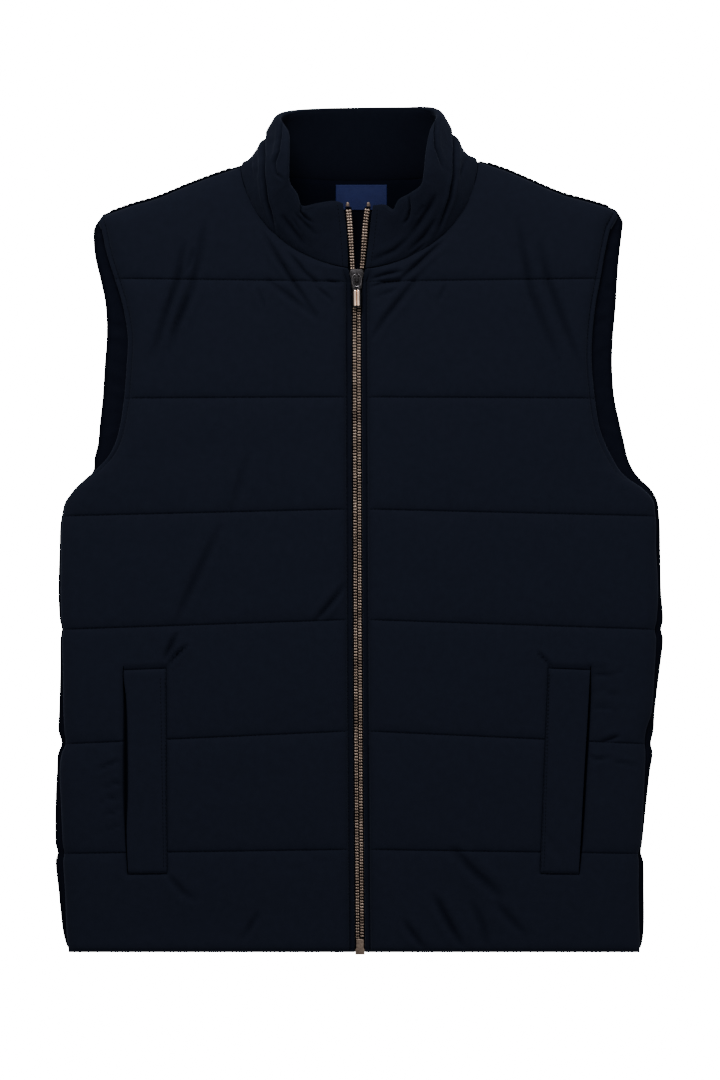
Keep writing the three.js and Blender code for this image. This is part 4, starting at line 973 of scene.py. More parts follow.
def collar_surface():
    """Rings of the collar's skin: up the outside, over the top edge and down the inside."""
    first, last = COLLAR[0]["turn"], COLLAR[-1]["turn"]
    steps = spaced((6, 0.4), (COLLAR_AROUND - 12, 1.0), (6, 0.4))
    turn = mix(first, last, steps)[:, None]
    up = spaced((5, 0.5), (34, 1.0), (10, 0.6))
    tip = np.linspace(0, math.pi, 11)[1:-1]
    t = np.concatenate([up, np.ones(len(tip)), up[::-1]])[None, :]
    face = np.concatenate([np.ones(len(up)), np.cos(tip), -np.ones(len(up))])[None, :]
    over = np.concatenate([np.zeros(len(up)), np.sin(tip), np.zeros(len(up))])[None, :]
    middle = collar_middle(turn, t)
    around = collar_middle(np.minimum(turn + 1, last), t) - collar_middle(np.maximum(turn - 1, first), t)
    rise = unit(collar_middle(turn, np.minimum(1, t + 0.02)) - collar_middle(turn, np.maximum(0, t - 0.02)))
    out = unit(np.cross(rise, around))
    wall = mix(COLLAR_SEAM_WALL, COLLAR_WALL, dome(t / COLLAR_SHAPE["grown_by"])) + 0 * turn
    wall = wall * mix(COLLAR_SHAPE["at_top"], 1.0, dome((1 - t) / COLLAR_SHAPE["top_share"]))
    near_front = np.minimum(turn - first, last - turn)
    wall = wall * mix(COLLAR_SHAPE["at_front"], 1.0, dome(near_front / COLLAR_SHAPE["front_turns"]))
    point = middle + out * (face * wall / 2)[..., None] + rise * (over * COLLAR_TIP)[..., None]
    lowered = creased(point[..., 0], point[..., 1], COLLAR_CREASES) * (face > 0) * clamp01(t / 0.03)
    lowered = np.minimum(lowered * COLLAR_FOLDS["deepened"], wall * COLLAR_FOLDS["of_wall"])
    ripple = sum(
        ripples["depth"] * waves(turn * 2.2, t * 60, ripples["size"], ripples["seed"])
        for ripples in COLLAR_RIPPLES
    )
    ripple = ripple * clamp01(near_front / 5) * (over == 0)
    point = point + out * (face * ripple * 0.8 - lowered)[..., None]
    point[..., 2] = np.maximum(point[..., 2], 0.05)
    # Painted shade in the outside folds and beside the zip
    beside_zip = 1 - clamp01((np.minimum(turn, 360 - turn) - 30) / 50)
    shaded = np.maximum(lowered, 0) * COLLAR_SHADE["fold"] + COLLAR_SHADE["beside_zip"] * beside_zip
    return {
        "point": point, "turn": turn + 0 * t, "t": t + 0 * turn, "face": face + 0 * turn, "shaded": shaded,
    }


# The collar's cloth in millimetres: for each degree round the neck, and over the whole height
COLLAR_PATTERN = {"per_turn": 2.1, "height": 70}


def collar_piece(finish):
    surface = collar_surface()
    point = surface["point"]
    bm = bmesh.new()
    bm.verts.layers.float.new("painted_shade")
    verts = cloth_grid(bm, point.shape[1] - 1, point.shape[0] - 1)
    place(verts, point[..., 0], point[..., 1], point[..., 2])
    ends = [verts[0], verts[-1]]
    seam = [(verts[i, 0], verts[i, -1]) for i in range(len(verts))]
    pattern_x = surface["turn"] * COLLAR_PATTERN["per_turn"]
    pattern_y = surface["t"] * COLLAR_PATTERN["height"] * np.sign(surface["face"] + 0.01)
    lay_pattern(bm, verts, pattern_x, pattern_y)
    for a, b in zip(seam[:-1], seam[1:]):
        bm.faces.new((a[0], a[1], b[1], b[0]))
    for end in ends:
        count = len(end)
        for low in range(count // 2 - 1):
            high = count - 1 - low
            bm.faces.new((end[low], end[low + 1], end[high - 1], end[high]))
    bmesh.ops.recalc_face_normals(bm, faces=bm.faces)
    # Painted shade on the collar's inside, darkest at the seam
    depth = mix(COLLAR_SHADE["inside_seam"], COLLAR_SHADE["inside_top"], dome(surface["t"] / 0.8))
    inside = clamp01(-surface["face"] * 3 - 1.2) * depth
    shade(bm, verts, np.maximum(inside, clamp01(surface["shaded"]) * (surface["face"] > 0)))
    piece = new_piece("stand_collar", bm, finish, "garment")
    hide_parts("collar")
    return piece


# Label, zip and stitching

LABEL = {
    "right": -21.9, "left": 25.6, "bottom": 297.0, "top": 320.6, "z": 9.3, "thickness": 0.8,
    "edge": 0.3, "crown": 0.45, "pressed_in": 2.0,
}


def label_piece(finish):
    """A bare woven label with a pressed line inside its rim, laid on the back inside the neck."""
    columns = spaced((4, 0.4), (40, 1.1), (4, 0.4))[None, :]
    rows = spaced((4, 0.4), (20, 1.1), (4, 0.4))[:, None]
    x = mix(LABEL["right"], LABEL["left"], columns) + 0 * rows
    y = mix(LABEL["bottom"], LABEL["top"], rows) + 0 * columns
    edge = np.minimum.reduce([x - LABEL["right"], LABEL["left"] - x, y - LABEL["bottom"], LABEL["top"] - y])
    sag = 0.12 * waves(x, y, 30, 51)
    rise = LABEL["edge"] + LABEL["crown"] * dome(edge / 0.8) + sag * dome(edge / 4)
    z = LABEL["z"] + rise - groove(edge - LABEL["pressed_in"], "label")
    z = np.minimum(z, LABEL["z"] + LABEL["thickness"])
    piece = closed_cloth("neck_label_cloth", (x, y, z), LABEL["z"], 0.02, finish)
    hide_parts("neck_label")
    return piece


ZIP = {"box_length": 13.0, "top_y": 236.0, "tape": 1.2, "chain": 2.4}


def zip_run(side):
    """The teeth's inner edge, the tape's outer edge and the tape's height, from the box to the top stop."""
    edge, teeth = ("right_edge", "right_teeth") if side < 0 else ("left_edge", "left_teeth")
    low = np.linspace(HEM_Y + ZIP["box_length"], ZIP["top_y"], 120)
    high = np.linspace(OPEN_ZIP[1]["y"], OPEN_ZIP[-1]["y"], 40)
    rows = OPEN_ZIP[1:]
    y = np.concatenate([low, high])
    inner = np.concatenate([zip_x(low) + side * 0.2, read(rows, "y", high, teeth)])
    closed_outer = zip_x(low) + side * (HALF_OPENING - GAP)
    outer = np.concatenate([closed_outer, read(rows, "y", high, edge) - side * 0.2])
    z = np.concatenate([np.full(len(low), OPEN_ZIP[0]["z"]), read(rows, "y", high, "z")])
    return y, inner, outer, z


def tape_piece(side, finish):
    name = sided("zip_tape", side)
    y, inner, outer, z = (values[:, None] for values in zip_run(side))
    across = np.linspace(0, 1, 13)[None, :]
    ribs = 0.09 * np.sin(across * 2 * math.pi * 5) - 0.16 * (np.abs(across - 0.5) > 0.47)
    bm = bmesh.new()
    verts = cloth_grid(bm, 12, len(y) - 1)
    place(verts, mix(inner, outer, across), y, z + ZIP["tape"] - 0.1 + ribs)
    # The foot follows the tape, which climbs beside the collar.
    lower = bmesh.ops.extrude_face_region(bm, geom=list(bm.faces))["geom"]
    foot = [g for g in lower if isinstance(g, bmesh.types.BMVert)]
    bmesh.ops.translate(bm, verts=foot, vec=(0, 0, -0.9 * MM))
    bmesh.ops.recalc_face_normals(bm, faces=bm.faces)
    lay_pattern(bm, verts, mix(inner, outer, across), y)
    piece = new_piece("woven_" + name, bm, finish, "garment")
    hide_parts(name)
    return piece


def add_block(bm, size, centre, bevel, segments=1):
    """Adds a block with rounded edges to a bmesh."""
    block = bmesh.new()
    bmesh.ops.create_cube(block, size=1.0)
    bmesh.ops.scale(block, vec=[s * MM for s in size], verts=block.verts)
    round_edges(block, list(block.edges), bevel, segments)
    mesh = bpy.data.meshes.new("block")
    block.to_mesh(mesh)
    block.free()
    mesh.transform(Matrix.Translation([c * MM for c in centre]))
    bm.from_mesh(mesh)
    bpy.data.meshes.remove(mesh)


TOOTH_REACH = 4.0
# The teeth of the two sides alternate: where the first one sits, as a share of the pitch
FIRST_TOOTH = {-1: 0.35, 1: 0.85}
# The two blocks of a tooth: the head over the middle of the zip, and the clamp on the tape
TOOTH_BLOCKS = table(
    "size out down bevel",
    ((2.1, 2.0, 2.35), 1.15, 0.0, 0.5),
    ((2.3, 1.8, 2.0), 2.85, 0.1, 0.4),
)


def distances(points):
    """How far along a line each of its points is."""
    return np.concatenate([[0], np.cumsum(np.linalg.norm(np.diff(points, axis=0), axis=1))])


def along_line(points, stops, reach):
    """Where a line is at some distances along it, and which way it runs there."""
    length = distances(points)
    at, ahead, behind = (
        np.stack([np.interp(stops + step, length, points[:, k]) for k in range(3)], axis=1)
        for step in (0.0, reach, -reach)
    )
    return at, ahead - behind


def teeth_piece(side, settings, finish):
    """One side's teeth: a rounded head on a clamp that grips the tape."""
    name = sided("zip_teeth", side)
    y, inner, outer, z = zip_run(side)
    points = np.stack([inner, y, z], axis=1)
    length = distances(points)
    pitch = settings.tooth_pitch
    stops = np.arange(pitch * FIRST_TOOTH[side], length[-1] - 0.6, pitch)
    at, runs = along_line(points, stops, 1.0)
    reach = np.interp(stops, length, np.abs(outer - inner)) - np.where(at[:, 1] < ZIP["top_y"], 0.6, 0.2)
    lift = ZIP["tape"] + GAP + ZIP["chain"] / 2
    template = bmesh.new()
    for block in TOOTH_BLOCKS:
        add_block(template, block["size"], (side * block["out"], 0, lift - block["down"]), block["bevel"])
    places = []
    for point, run, width in zip(at, runs, reach):
        along = Vector(run).normalized()
        across = along.cross(Vector((0, 0, 1))).normalized()
        turn = Matrix((across * (width / TOOTH_REACH), along, across.cross(along))).transposed().to_4x4()
        places.append(Matrix.Translation(Vector(point) * MM) @ turn)
    piece = joined_copies("brass_" + name, template, places, finish, "garment")
    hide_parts(name)
    return piece


def stop_piece(side, finish):
    name = sided("zip_stop", side)
    return worked_copy("worked_" + name, name, 0.5, 3, finish, "garment")


def box_piece(finish):
    """The zip's box: a plain block with its edges rounded."""
    return worked_copy("worked_zip_box", "zip_box", 0.5, 3, finish, "garment")


def stitch_template(settings):
    """One stitch: a short rounded bead of thread that dips at both ends."""
    bm = bmesh.new()
    lying = Matrix.Rotation(math.pi / 2, 4, "Y")
    bmesh.ops.create_uvsphere(bm, u_segments=6, v_segments=4, radius=1.0, matrix=lying)
    half = settings.stitch_length / 2
    bmesh.ops.scale(bm, vec=(half * MM, settings.thread / 2 * MM, settings.thread / 2 * MM), verts=bm.verts)
    return bm


def stitch_places(points, settings):
    """A matrix for each stitch along a line of points in millimetres."""
    points = np.asarray(points, float)
    whole = distances(points)[-1]
    if whole < 2 * settings.stitch_pitch:
        return []
    stops = np.arange(settings.stitch_pitch / 2, whole, settings.stitch_pitch)
    places = []
    for point, run in zip(*along_line(points, stops, 0.8)):
        along = Vector(run)
        if along.length < 1e-6:
            continue
        along.normalize()
        across = Vector((0, 0, 1)).cross(along).normalized()
        turn = Matrix((along, across, along.cross(across))).transposed().to_4x4()
        places.append(Matrix.Translation(Vector(point) * MM) @ turn)
    return places


def at_distance(surface, name, distance, rows):
    """The line on a surface that keeps its distance from an edge, over some of its rows."""
    line = []
    for row in rows:
        away = surface[name][row]
        order = np.argsort(away)
        line.append([np.interp(distance[row], away[order], surface[axis][row][order]) for axis in "xyz"])
    return line


def row_points(surface, row):
    return np.stack([surface[axis][row] for axis in "xyz"], axis=1)


def sewn(name, places, settings, finish):
    return joined_copies(name, stitch_template(settings), places, finish, "garment")


def front_stitches(side, settings, finish):
    surface = front_surface(side, settings)
    rows = len(surface["x"])
    places = []
    for row in surface["seam_rows"]:
        skip = np.zeros(surface["x"].shape[1], bool)
        if surface["bottom"] <= row <= surface["top"]:
            skip[SEWN_COLUMN : SLIT_COLUMN + 1] = True
        skip |= surface["from_inner"][row] < LIP_WIDTH
        line = row_points(surface, row)
        inner = line[: SEWN_COLUMN][~skip[: SEWN_COLUMN]]
        if skip[SEWN_COLUMN]:
            places += stitch_places(inner, settings)
            places += stitch_places(line[SLIT_COLUMN + 1 :], settings)
        else:
            places += stitch_places(line[~skip], settings)
    zip_rows = range(6, surface["seam_rows"][-1] + 2)
    zip_line = at_distance(surface, "from_inner", np.full(rows, STITCHED_IN["zip"]), zip_rows)
    places += stitch_places(zip_line, settings)
    armhole_rows = [r for r in range(rows - 2) if surface["y"][r, -1] > ARMHOLE["y"] + 6]
    armhole_line = at_distance(surface, "from_outer", np.full(rows, STITCHED_IN["armhole"]), armhole_rows)
    places += stitch_places(armhole_line, settings)
    hem_row = int(np.argmin(np.abs(surface["y"][:CHANNEL_ROWS, 0] - (HEM_Y + STITCHED_IN["hem"]))))
    places += stitch_places(row_points(surface, hem_row)[8:-8], settings)
    return sewn(sided("stitches_front", side), places, settings, finish)


def welt_stitches(side, settings, finish):
    surface = welt_surface(side, settings)
    places = []
    rows = range(2, len(surface["x"]) - 2)
    first_line = np.full(len(surface["y"]), WELT_STITCHED_IN)
    for distance in (first_line, second_line(side, surface["y"][:, 0])):
        places += stitch_places(at_distance(surface, "across", distance, rows), settings)
    return sewn(sided("stitches_welt", side), places, settings, finish)


def collar_stitches(settings, finish):
    """The line beside the zip on each front end of the collar's outside."""
    surface = collar_surface()
    half = surface["point"].shape[1] // 2
    places = []
    for end in (0, -1):
        points = surface["point"][:, :half]
        away = np.abs(points[:, :, 0] - points[end, :, 0][None, :])
        start = 0 if end == 0 else len(points) - 40
        row = start + np.argmin(np.abs(away - 5.0)[start : start + 40], axis=0)
        places += stitch_places([points[r, c] for c, r in enumerate(row)][2:-4], settings)
    return sewn("stitches_collar", places, settings, finish)


# Finishes

def node_group(name, inputs, outputs):
    """A shader group with its own sockets, as (socket type, name, default)."""
    group = bpy.data.node_groups.new(name, "ShaderNodeTree")
    for kind, label, default in inputs:
        group.interface.new_socket(name=label, in_out="INPUT", socket_type=kind).default_value = default
    for kind, label in outputs:
        group.interface.new_socket(name=label, in_out="OUTPUT", socket_type=kind)
    return group, group.nodes.new("NodeGroupInput"), group.nodes.new("NodeGroupOutput")


def feed(link, value, socket):
    """Sets a shader's socket to a number, or links another socket to it."""
    if isinstance(value, bpy.types.NodeSocket):
        link(value, socket)
    else:
        socket.default_value = value


def combined(nodes, link, operation, first, second):
    """The product or sum of two values."""
    node = nodes.new("ShaderNodeMath")
    node.operation = operation
    feed(link, first, node.inputs[0])
    feed(link, second, node.inputs[1])
    return node.outputs[0]


def noise(nodes, link, where, scale, detail, roughness=0.5):
    node = nodes.new("ShaderNodeTexNoise")
    link(where, node.inputs["Vector"])
    feed(link, scale, node.inputs["Scale"])
    node.inputs["Detail"].default_value = detail
    node.inputs["Roughness"].default_value = roughness
    return node.outputs["Fac"]


def bumped(nodes, link, height, strength, distance):
    node = nodes.new("ShaderNodeBump")
    node.inputs["Strength"].default_value = strength
    feed(link, distance, node.inputs["Distance"])
    link(height, node.inputs["Height"])
    return node.outputs["Normal"]


def weave_group():
    """A plain weave with fine fuzz over it, as a mask for mottling and a normal."""
    group, given, out = node_group(
        "Fine weave",
        [("NodeSocketVector", "Place", (0, 0, 0)), ("NodeSocketFloat", "Threads per metre", 2200.0),
         ("NodeSocketFloat", "Depth", 0.00006), ("NodeSocketFloat", "Mottle size", 150.0)],
        [("NodeSocketFloat", "Mottle"), ("NodeSocketVector", "Normal")],
    )
    nodes, link = group.nodes, group.links.new
    # A wave texture of scale 1 has a band every pi / 10 of a metre.
    scale = combined(nodes, link, "MULTIPLY", given.outputs["Threads per metre"], 0.314)
    heights = []
    for direction in ("X", "Y"):
        wave = nodes.new("ShaderNodeTexWave")
        wave.bands_direction = direction
        wave.inputs["Distortion"].default_value = 0.6
        wave.inputs["Detail"].default_value = 1.0
        link(given.outputs["Place"], wave.inputs["Vector"])
        link(scale, wave.inputs["Scale"])
        heights.append(wave.outputs["Fac"])
    cross = combined(nodes, link, "MULTIPLY", heights[0], heights[1])
    fuzz = noise(nodes, link, given.outputs["Place"], 420.0, 5.0, 0.7)
    height = combined(nodes, link, "ADD", cross, fuzz)
    mottle = noise(nodes, link, given.outputs["Place"], given.outputs["Mottle size"], 6.0, 0.62)
    link(mottle, out.inputs["Mottle"])
    link(bumped(nodes, link, height, 0.6, given.outputs["Depth"]), out.inputs["Normal"])
    return group


def grain_group():
    """Fine scratches for small cast metal, and a mask that darkens it: dirt where the grain is fine, painted
    reflection where it is coarse; as a mask and a normal.
    """
    group, given, out = node_group(
        "Metal grain",
        [("NodeSocketVector", "Place", (0, 0, 0)), ("NodeSocketFloat", "Grain per metre", 900.0)],
        [("NodeSocketFloat", "Grime and reflection"), ("NodeSocketVector", "Normal")],
    )
    nodes, link = group.nodes, group.links.new
    grain = noise(nodes, link, given.outputs["Place"], given.outputs["Grain per metre"], 4.0)
    link(grain, out.inputs["Grime and reflection"])
    link(bumped(nodes, link, grain, 0.25, 0.00005), out.inputs["Normal"])
    return group


def shared_group(name, make):
    return bpy.data.node_groups.get(name) or make()


def new_finish(name):
    """A new material, its nodes, what links them and its shader."""
    material = bpy.data.materials.new(name)
    material.use_nodes = True
    nodes = material.node_tree.nodes
    return material, nodes, material.node_tree.links.new, nodes["Principled BSDF"]


def scaled(colour, share):
    return [c * share for c in colour]


def two_tints(nodes, link, mask, margin, dark, light):
    """One tint in a mask's low parts and another in its high parts. The margin is left at both its ends."""
    ramp = nodes.new("ShaderNodeValToRGB")
    low, high = ramp.color_ramp.elements
    low.position = margin
    high.position = 1 - margin
    low.color = [*dark, 1]
    high.color = [*light, 1]
    link(mask, ramp.inputs["Fac"])
    return ramp.outputs["Color"]


def cloth_finish(
    name, colour, settings, sheen=0.03, gloss=0.022, threads=2200.0, depth=0.00006, roughness=0.92,
    spread=0.08,
):
    """Soft, brushed cloth: two close tints of one colour over a fine weave."""
    if name in bpy.data.materials:
        return bpy.data.materials[name]
    material, nodes, link, shader = new_finish(name)
    places = nodes.new("ShaderNodeTexCoord")
    weave = nodes.new("ShaderNodeGroup")
    weave.node_tree = shared_group("Fine weave", weave_group)
    weave.inputs["Threads per metre"].default_value = threads
    weave.inputs["Depth"].default_value = depth
    link(places.outputs["UV"], weave.inputs["Place"])
    dark, light = scaled(colour, 1 - spread), scaled(colour, 1 + spread)
    tint = two_tints(nodes, link, weave.outputs["Mottle"], 0.3, dark, light)
    # Painted shade: where a piece is marked, the colour turns to the dark shade colour.
    mark = nodes.new("ShaderNodeAttribute")
    mark.attribute_name = "painted_shade"
    painted_shade_mix = nodes.new("ShaderNodeMix")
    painted_shade_mix.data_type = "RGBA"
    painted_shade_mix.inputs["B"].default_value = (*settings.painted_shade_colour, 1)
    link(mark.outputs["Fac"], painted_shade_mix.inputs["Factor"])
    link(tint, painted_shade_mix.inputs["A"])
    link(painted_shade_mix.outputs["Result"], shader.inputs["Base Color"])
    link(weave.outputs["Normal"], shader.inputs["Normal"])
    shader.inputs["Roughness"].default_value = roughness
    shader.inputs["Specular IOR Level"].default_value = gloss
    shader.inputs["Sheen Weight"].default_value = sheen
    shader.inputs["Sheen Roughness"].default_value = 0.45
    shader.inputs["Sheen Tint"].default_value = (0.55, 0.65, 1.0, 1)
    return material


def metal_finish(name, colour, roughness, grime_and_reflection=0.5, grain_per_metre=900.0):
    """Cast metal, darker by a share in the low parts of its grain: dirt where the grain is fine, painted
    reflection where it is coarse.
    """
    if name in bpy.data.materials:
        return bpy.data.materials[name]
    material, nodes, link, shader = new_finish(name)
    places = nodes.new("ShaderNodeTexCoord")
    grain = nodes.new("ShaderNodeGroup")
    grain.node_tree = shared_group("Metal grain", grain_group)
    grain.inputs["Grain per metre"].default_value = grain_per_metre
    link(places.outputs["Object"], grain.inputs["Place"])
    tint = two_tints(nodes, link, grain.outputs["Grime and reflection"], 0.35, scaled(colour, grime_and_reflection), colour)
    link(tint, shader.inputs["Base Color"])
    link(grain.outputs["Normal"], shader.inputs["Normal"])
    shader.inputs["Metallic"].default_value = 1.0
    shader.inputs["Roughness"].default_value = roughness
    return material


# Add-on: settings, operators and panel

class VestSettings(bpy.types.PropertyGroup):
    seam_thickness: FloatProperty(
        name="Seam thickness", description="How thick a front is at a quilting seam, in millimetres",
        default=8.7, min=3.0, max=10.0,
    )
    pucker_depth: FloatProperty(
        name="Pucker depth", description="How deep the small puckers beside a seam are, in millimetres",
        default=0.45, min=0.0, max=1.0,
    )
    crease_depth: FloatProperty(
        name="Crease depth", description="How many times their listed depth the fronts' creases have",
        default=3.4, min=0.0, max=6.0,
    )
    tooth_pitch: FloatProperty(
        name="Tooth pitch", description="From one tooth to the next on one side of the zip, in millimetres",
        default=2.7, min=1.5, max=5.0,
    )
    stitch_pitch: FloatProperty(
        name="Stitch pitch", description="From one stitch to the next, in millimetres",
        default=3.6, min=2.0, max=6.0,
    )
    stitch_length: FloatProperty(
        name="Stitch length", description="How long one stitch shows, in millimetres",
        default=2.3, min=1.0, max=5.0,
    )
    thread: FloatProperty(
        name="Thread", description="How thick the thread is, in millimetres", default=0.7, min=0.2, max=1.0,
    )
    shell_colour: FloatVectorProperty(
        name="Shell", description="Colour of the outer cloth", subtype="COLOR", size=3,
        default=(0.0033, 0.0041, 0.0077),
    )
    lining_colour: FloatVectorProperty(
        name="Lining", description="Colour of the lining", subtype="COLOR", size=3,
        default=(0.0019, 0.0023, 0.0045),
    )
    # The dark colour that painted shade turns to
    painted_shade_colour: FloatVectorProperty(
        name="Painted shade", description="Dark colour painted where shade falls", subtype="COLOR", size=3,
        default=(0.0002, 0.0004, 0.0014),
    )
    thread_colour: FloatVectorProperty(
        name="Thread", description="Colour of the stitching", subtype="COLOR", size=3,
        default=(0.0005, 0.0007, 0.0016),
    )
    label_colour: FloatVectorProperty(
        name="Label", description="Colour of the neck label", subtype="COLOR", size=3,
        default=(0.0030, 0.0051, 0.026),
    )
    tape_colour: FloatVectorProperty(
        name="Zip tape", description="Colour of the zip's tape", subtype="COLOR", size=3,
        default=(0.0010, 0.0013, 0.0022),
    )
    teeth_colour: FloatVectorProperty(
        name="Teeth", description="Colour of the zip's brass", subtype="COLOR", size=3,
        default=(0.214, 0.161, 0.129),
    )
    slider_colour: FloatVectorProperty(
        name="Slider", description="Colour of the slider", subtype="COLOR", size=3,
        default=(0.033, 0.0309, 0.0325),
    )
    pull_colour: FloatVectorProperty(
        name="Pull", description="Colour of the pull", subtype="COLOR", size=3,
        default=(0.92, 0.66, 0.51),
    )


def shell_finish(settings):
    return cloth_finish("Brushed navy shell", settings.shell_colour, settings)


def lining_finish(settings):
    return cloth_finish(
        "Dark lining", settings.lining_colour, settings, sheen=0.004, gloss=0.008, roughness=0.85,
    )


def thread_finish(settings):
    return cloth_finish(
        "Navy thread", settings.thread_colour, settings, sheen=0.02, gloss=0.03, roughness=0.75,
    )


class VEST_OT_back(bpy.types.Operator):
    """Makes the lined back and its gathered shoulder edges"""
    bl_idname = "vest.back"
    bl_label = "Back"

    def execute(self, context):
        finish = lining_finish(context.scene.vest)
        back_piece(finish)
        for side in (-1, 1):
            gather_piece(side, finish)
        return {"FINISHED"}


class VEST_OT_fronts(bpy.types.Operator):
    """Makes the two quilted fronts and their pocket welts"""
    bl_idname = "vest.fronts"
    bl_label = "Fronts and welts"

    def execute(self, context):
        settings = context.scene.vest
        finish = shell_finish(settings)
        for side in (-1, 1):
            front_piece(side, settings, finish)
            welt_piece(side, settings, finish)
        return {"FINISHED"}


class VEST_OT_collar(bpy.types.Operator):
    """Makes the standing collar and the label inside the neck"""
    bl_idname = "vest.collar"
    bl_label = "Collar and label"

    def execute(self, context):
        settings = context.scene.vest
        collar_piece(shell_finish(settings))
        label_piece(cloth_finish(
            "Woven label", settings.label_colour, settings, sheen=0.02, gloss=0.05, threads=3200.0,
            roughness=0.55,
        ))
        return {"FINISHED"}


class VEST_OT_zip(bpy.types.Operator):
    """Makes the zip's tapes, teeth, stops and box"""
    bl_idname = "vest.zip"
    bl_label = "Zip"

    def execute(self, context):
        settings = context.scene.vest
        tape = cloth_finish(
            "Zip tape", settings.tape_colour, settings, sheen=0.01, gloss=0.02, threads=2600.0, roughness=0.8,
        )
        # On the teeth the grain is coarse, so its darker patches are painted reflection that changes along
        # the zip.
        brass = metal_finish("Antique brass", settings.teeth_colour, 0.36, 0.35, 70.0)
        for side in (-1, 1):
            tape_piece(side, tape)
            teeth_piece(side, settings, brass)
            stop_piece(side, metal_finish("Dull brass", scaled(settings.teeth_colour, 0.42), 0.45))
        box_piece(metal_finish("Aged brass", scaled(settings.teeth_colour, 0.7), 0.42))
        return {"FINISHED"}


SLIDER_RIM = {"y": 231.4, "half_width": 4.1, "half_length": 5.8, "tube": 0.75, "z": 16.25}
PULL_BARS = {
    "apart": 2.9, "pin_y": 233.4, "top_y": 222.6, "bottom_y": 207.6, "width": 2.5, "height": 2.2, "z": 19.1,
}


def slider_rim_piece(finish):
    """The raised oval rim that surrounds the slider's bridge."""
    bm = bmesh.new()
    ring = bmesh.ops.create_circle(bm, segments=10, radius=SLIDER_RIM["tube"] * MM, cap_ends=False)["verts"]
    bmesh.ops.rotate(bm, verts=ring, cent=(0, 0, 0), matrix=Matrix.Rotation(math.pi / 2, 3, "X"))
    bmesh.ops.translate(bm, verts=ring, vec=(SLIDER_RIM["half_width"] * MM, 0, 0))
    bmesh.ops.spin(
        bm, geom=bm.verts[:] + bm.edges[:], cent=(0, 0, 0), axis=(0, 0, 1), angle=2 * math.pi, steps=40,
        use_merge=True,
    )
    stretch = (SLIDER_RIM["half_length"] - SLIDER_RIM["half_width"]) * MM
    for vert in bm.verts:
        vert.co.y += stretch * math.copysign(min(1.0, abs(vert.co.y) / (1.6 * MM)), vert.co.y)
        vert.co += Vector((float(zip_x(SLIDER_RIM["y"])), SLIDER_RIM["y"], SLIDER_RIM["z"])) * MM
    bmesh.ops.recalc_face_normals(bm, faces=bm.faces)
    return new_piece("slider_rim", bm, finish, "garment")


def pull_bars_piece(finish):
    """Two polished half-round bars, side by side on the pull."""
    bm = bmesh.new()
    length = PULL_BARS["top_y"] - PULL_BARS["bottom_y"]
    middle = (PULL_BARS["top_y"] + PULL_BARS["bottom_y"]) / 2
    centre = float(zip_x(PULL_BARS["pin_y"]))
    for side in (-1, 1):
        size = (PULL_BARS["width"], length, PULL_BARS["height"])
        add_block(bm, size, (centre + side * PULL_BARS["apart"] / 2, middle, PULL_BARS["z"]), 1.0, 4)
    return new_piece("pull_bars", bm, finish, "pull")


class VEST_OT_slider(bpy.types.Operator):
    """Makes the slider and its pull"""
    bl_idname = "vest.slider"
    bl_label = "Slider and pull"

    def execute(self, context):
        settings = context.scene.vest
        gunmetal = metal_finish("Gunmetal", settings.slider_colour, 0.34)
        worked_copy("worked_zip_slider", "zip_slider", 0.5, 3, gunmetal, "garment")
        # The rim's metal is four times lighter than the slider's body.
        slider_rim_piece(metal_finish("Light gunmetal", scaled(settings.slider_colour, 4.0), 0.3))
        worked_copy("worked_pull_tab", "pull_tab", 0.3, 3, gunmetal, "pull")
        pull_bars_piece(metal_finish("Polished rose gold", settings.pull_colour, 0.16, 0.85))
        return {"FINISHED"}


class VEST_OT_stitches(bpy.types.Operator):
    """Sews the quilting, the edges, the welts and the collar"""
    bl_idname = "vest.stitches"
    bl_label = "Stitches"

    def execute(self, context):
        settings = context.scene.vest
        finish = thread_finish(settings)
        for side in (-1, 1):
            front_stitches(side, settings, finish)
            welt_stitches(side, settings, finish)
        collar_stitches(settings, finish)
        return {"FINISHED"}


# What the camera sees: the picture's centre and height at the table, and how high the camera hangs
PHOTO = {"centre_x": 0.6, "centre_y": -9.0, "height": 1004.4, "camera_z": 4000.0}
TABLE = {"half_size": 4.0, "colour": (0.35, 0.35, 0.35), "roughness": 0.8, "glow": 20.0}
ROOM_LIGHT = 0.85
# Soft lights, in metres and watts
LIGHTS = table(
    "name size power place_at",
    ("key", (1.0, 0.6), 60, (-0.25, 1.4, 1.35)),
    ("fill", (1.4, 1.4), 14, (1.5, -0.6, 1.8)),
)


def flat_finish(name, colour, roughness, glow):
    material, nodes, link, shader = new_finish(name)
    shader.inputs["Base Color"].default_value = (*colour, 1)
    shader.inputs["Roughness"].default_value = roughness
    shader.inputs["Emission Color"].default_value = (1, 1, 1, 1)
    # The table looks pure white but throws no glow up at the cloth.
    seen = nodes.new("ShaderNodeLightPath")
    power = combined(nodes, link, "MULTIPLY", seen.outputs["Is Camera Ray"], glow)
    link(power, shader.inputs["Emission Strength"])
    return material


def soft_light(name, size, power, place_at, aim=(0, 0, 0)):
    data = bpy.data.lights.new(name, "AREA")
    data.shape = "RECTANGLE"
    data.size, data.size_y = size
    data.energy = power
    lamp = bpy.data.objects.new(name, data)
    lamp.location = place_at
    lamp.rotation_mode = "QUATERNION"
    lamp.rotation_quaternion = (Vector(aim) - Vector(place_at)).to_track_quat("-Z", "Y")
    bpy.context.scene.collection.objects.link(lamp)
    return lamp


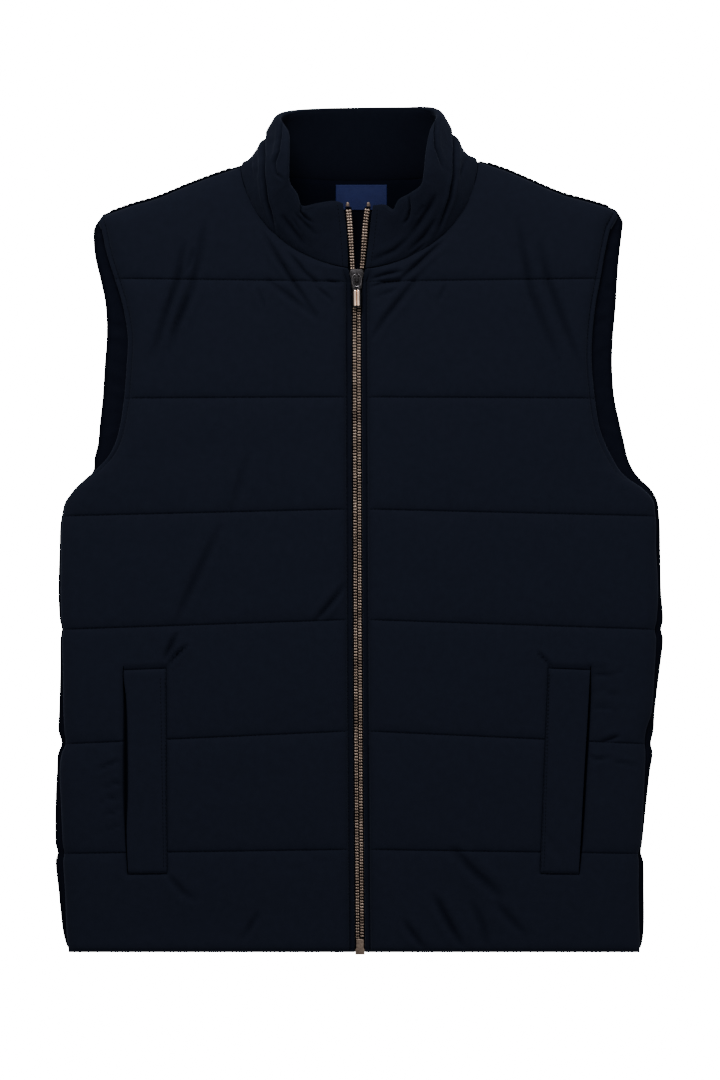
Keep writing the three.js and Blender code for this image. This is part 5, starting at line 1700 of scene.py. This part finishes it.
class VEST_OT_stage(bpy.types.Operator):
    """Sets the white table, the lights and the camera straight above"""
    bl_idname = "vest.stage"
    bl_label = "Stage"

    def execute(self, context):
        scene = context.scene
        bm = bmesh.new()
        bmesh.ops.create_grid(bm, x_segments=1, y_segments=1, size=TABLE["half_size"])
        mesh = bpy.data.meshes.new("table_top")
        bm.to_mesh(mesh)
        bm.free()
        floor = bpy.data.objects.new("table_top", mesh)
        scene.collection.objects.link(floor)
        white = flat_finish("White table", TABLE["colour"], TABLE["roughness"], TABLE["glow"])
        mesh.materials.append(white)
        world = bpy.data.worlds.new("Soft room")
        world.use_nodes = True
        world.node_tree.nodes["Background"].inputs["Color"].default_value = (1, 1, 1, 1)
        world.node_tree.nodes["Background"].inputs["Strength"].default_value = ROOM_LIGHT
        scene.world = world
        for light in LIGHTS:
            soft_light(**light)
        data = bpy.data.cameras.new("above")
        data.sensor_width = 36.0
        data.lens = data.sensor_width * PHOTO["camera_z"] / PHOTO["height"]
        data.clip_end = 20.0
        camera = bpy.data.objects.new("above", data)
        camera.location = (PHOTO["centre_x"] * MM, PHOTO["centre_y"] * MM, PHOTO["camera_z"] * MM)
        scene.collection.objects.link(camera)
        scene.camera = camera
        return {"FINISHED"}


class VEST_PT_panel(bpy.types.Panel):
    """Sizes, colours and steps of the vest"""
    bl_label = "Quilted vest"
    bl_idname = "VEST_PT_panel"
    bl_space_type = "VIEW_3D"
    bl_region_type = "UI"
    bl_category = "Vest"

    def draw(self, context):
        column = self.layout.column()
        for name in VestSettings.__annotations__:
            column.prop(context.scene.vest, name)
        for operator in OPERATORS:
            column.operator(operator.bl_idname)


OPERATORS = (
    VEST_OT_back, VEST_OT_fronts, VEST_OT_collar, VEST_OT_zip, VEST_OT_slider, VEST_OT_stitches,
    VEST_OT_stage,
)


def register():
    for kind in (VestSettings, *OPERATORS, VEST_PT_panel):
        bpy.utils.register_class(kind)
    bpy.types.Scene.vest = PointerProperty(type=VestSettings)


def unregister():
    del bpy.types.Scene.vest
    for kind in reversed((VestSettings, *OPERATORS, VEST_PT_panel)):
        bpy.utils.unregister_class(kind)


def main():
    register()
    bpy.ops.vest.back()
    bpy.ops.vest.fronts()
    bpy.ops.vest.collar()
    bpy.ops.vest.zip()
    bpy.ops.vest.slider()
    bpy.ops.vest.stitches()
    bpy.ops.vest.stage()


if __name__ == "__main__":
    main()
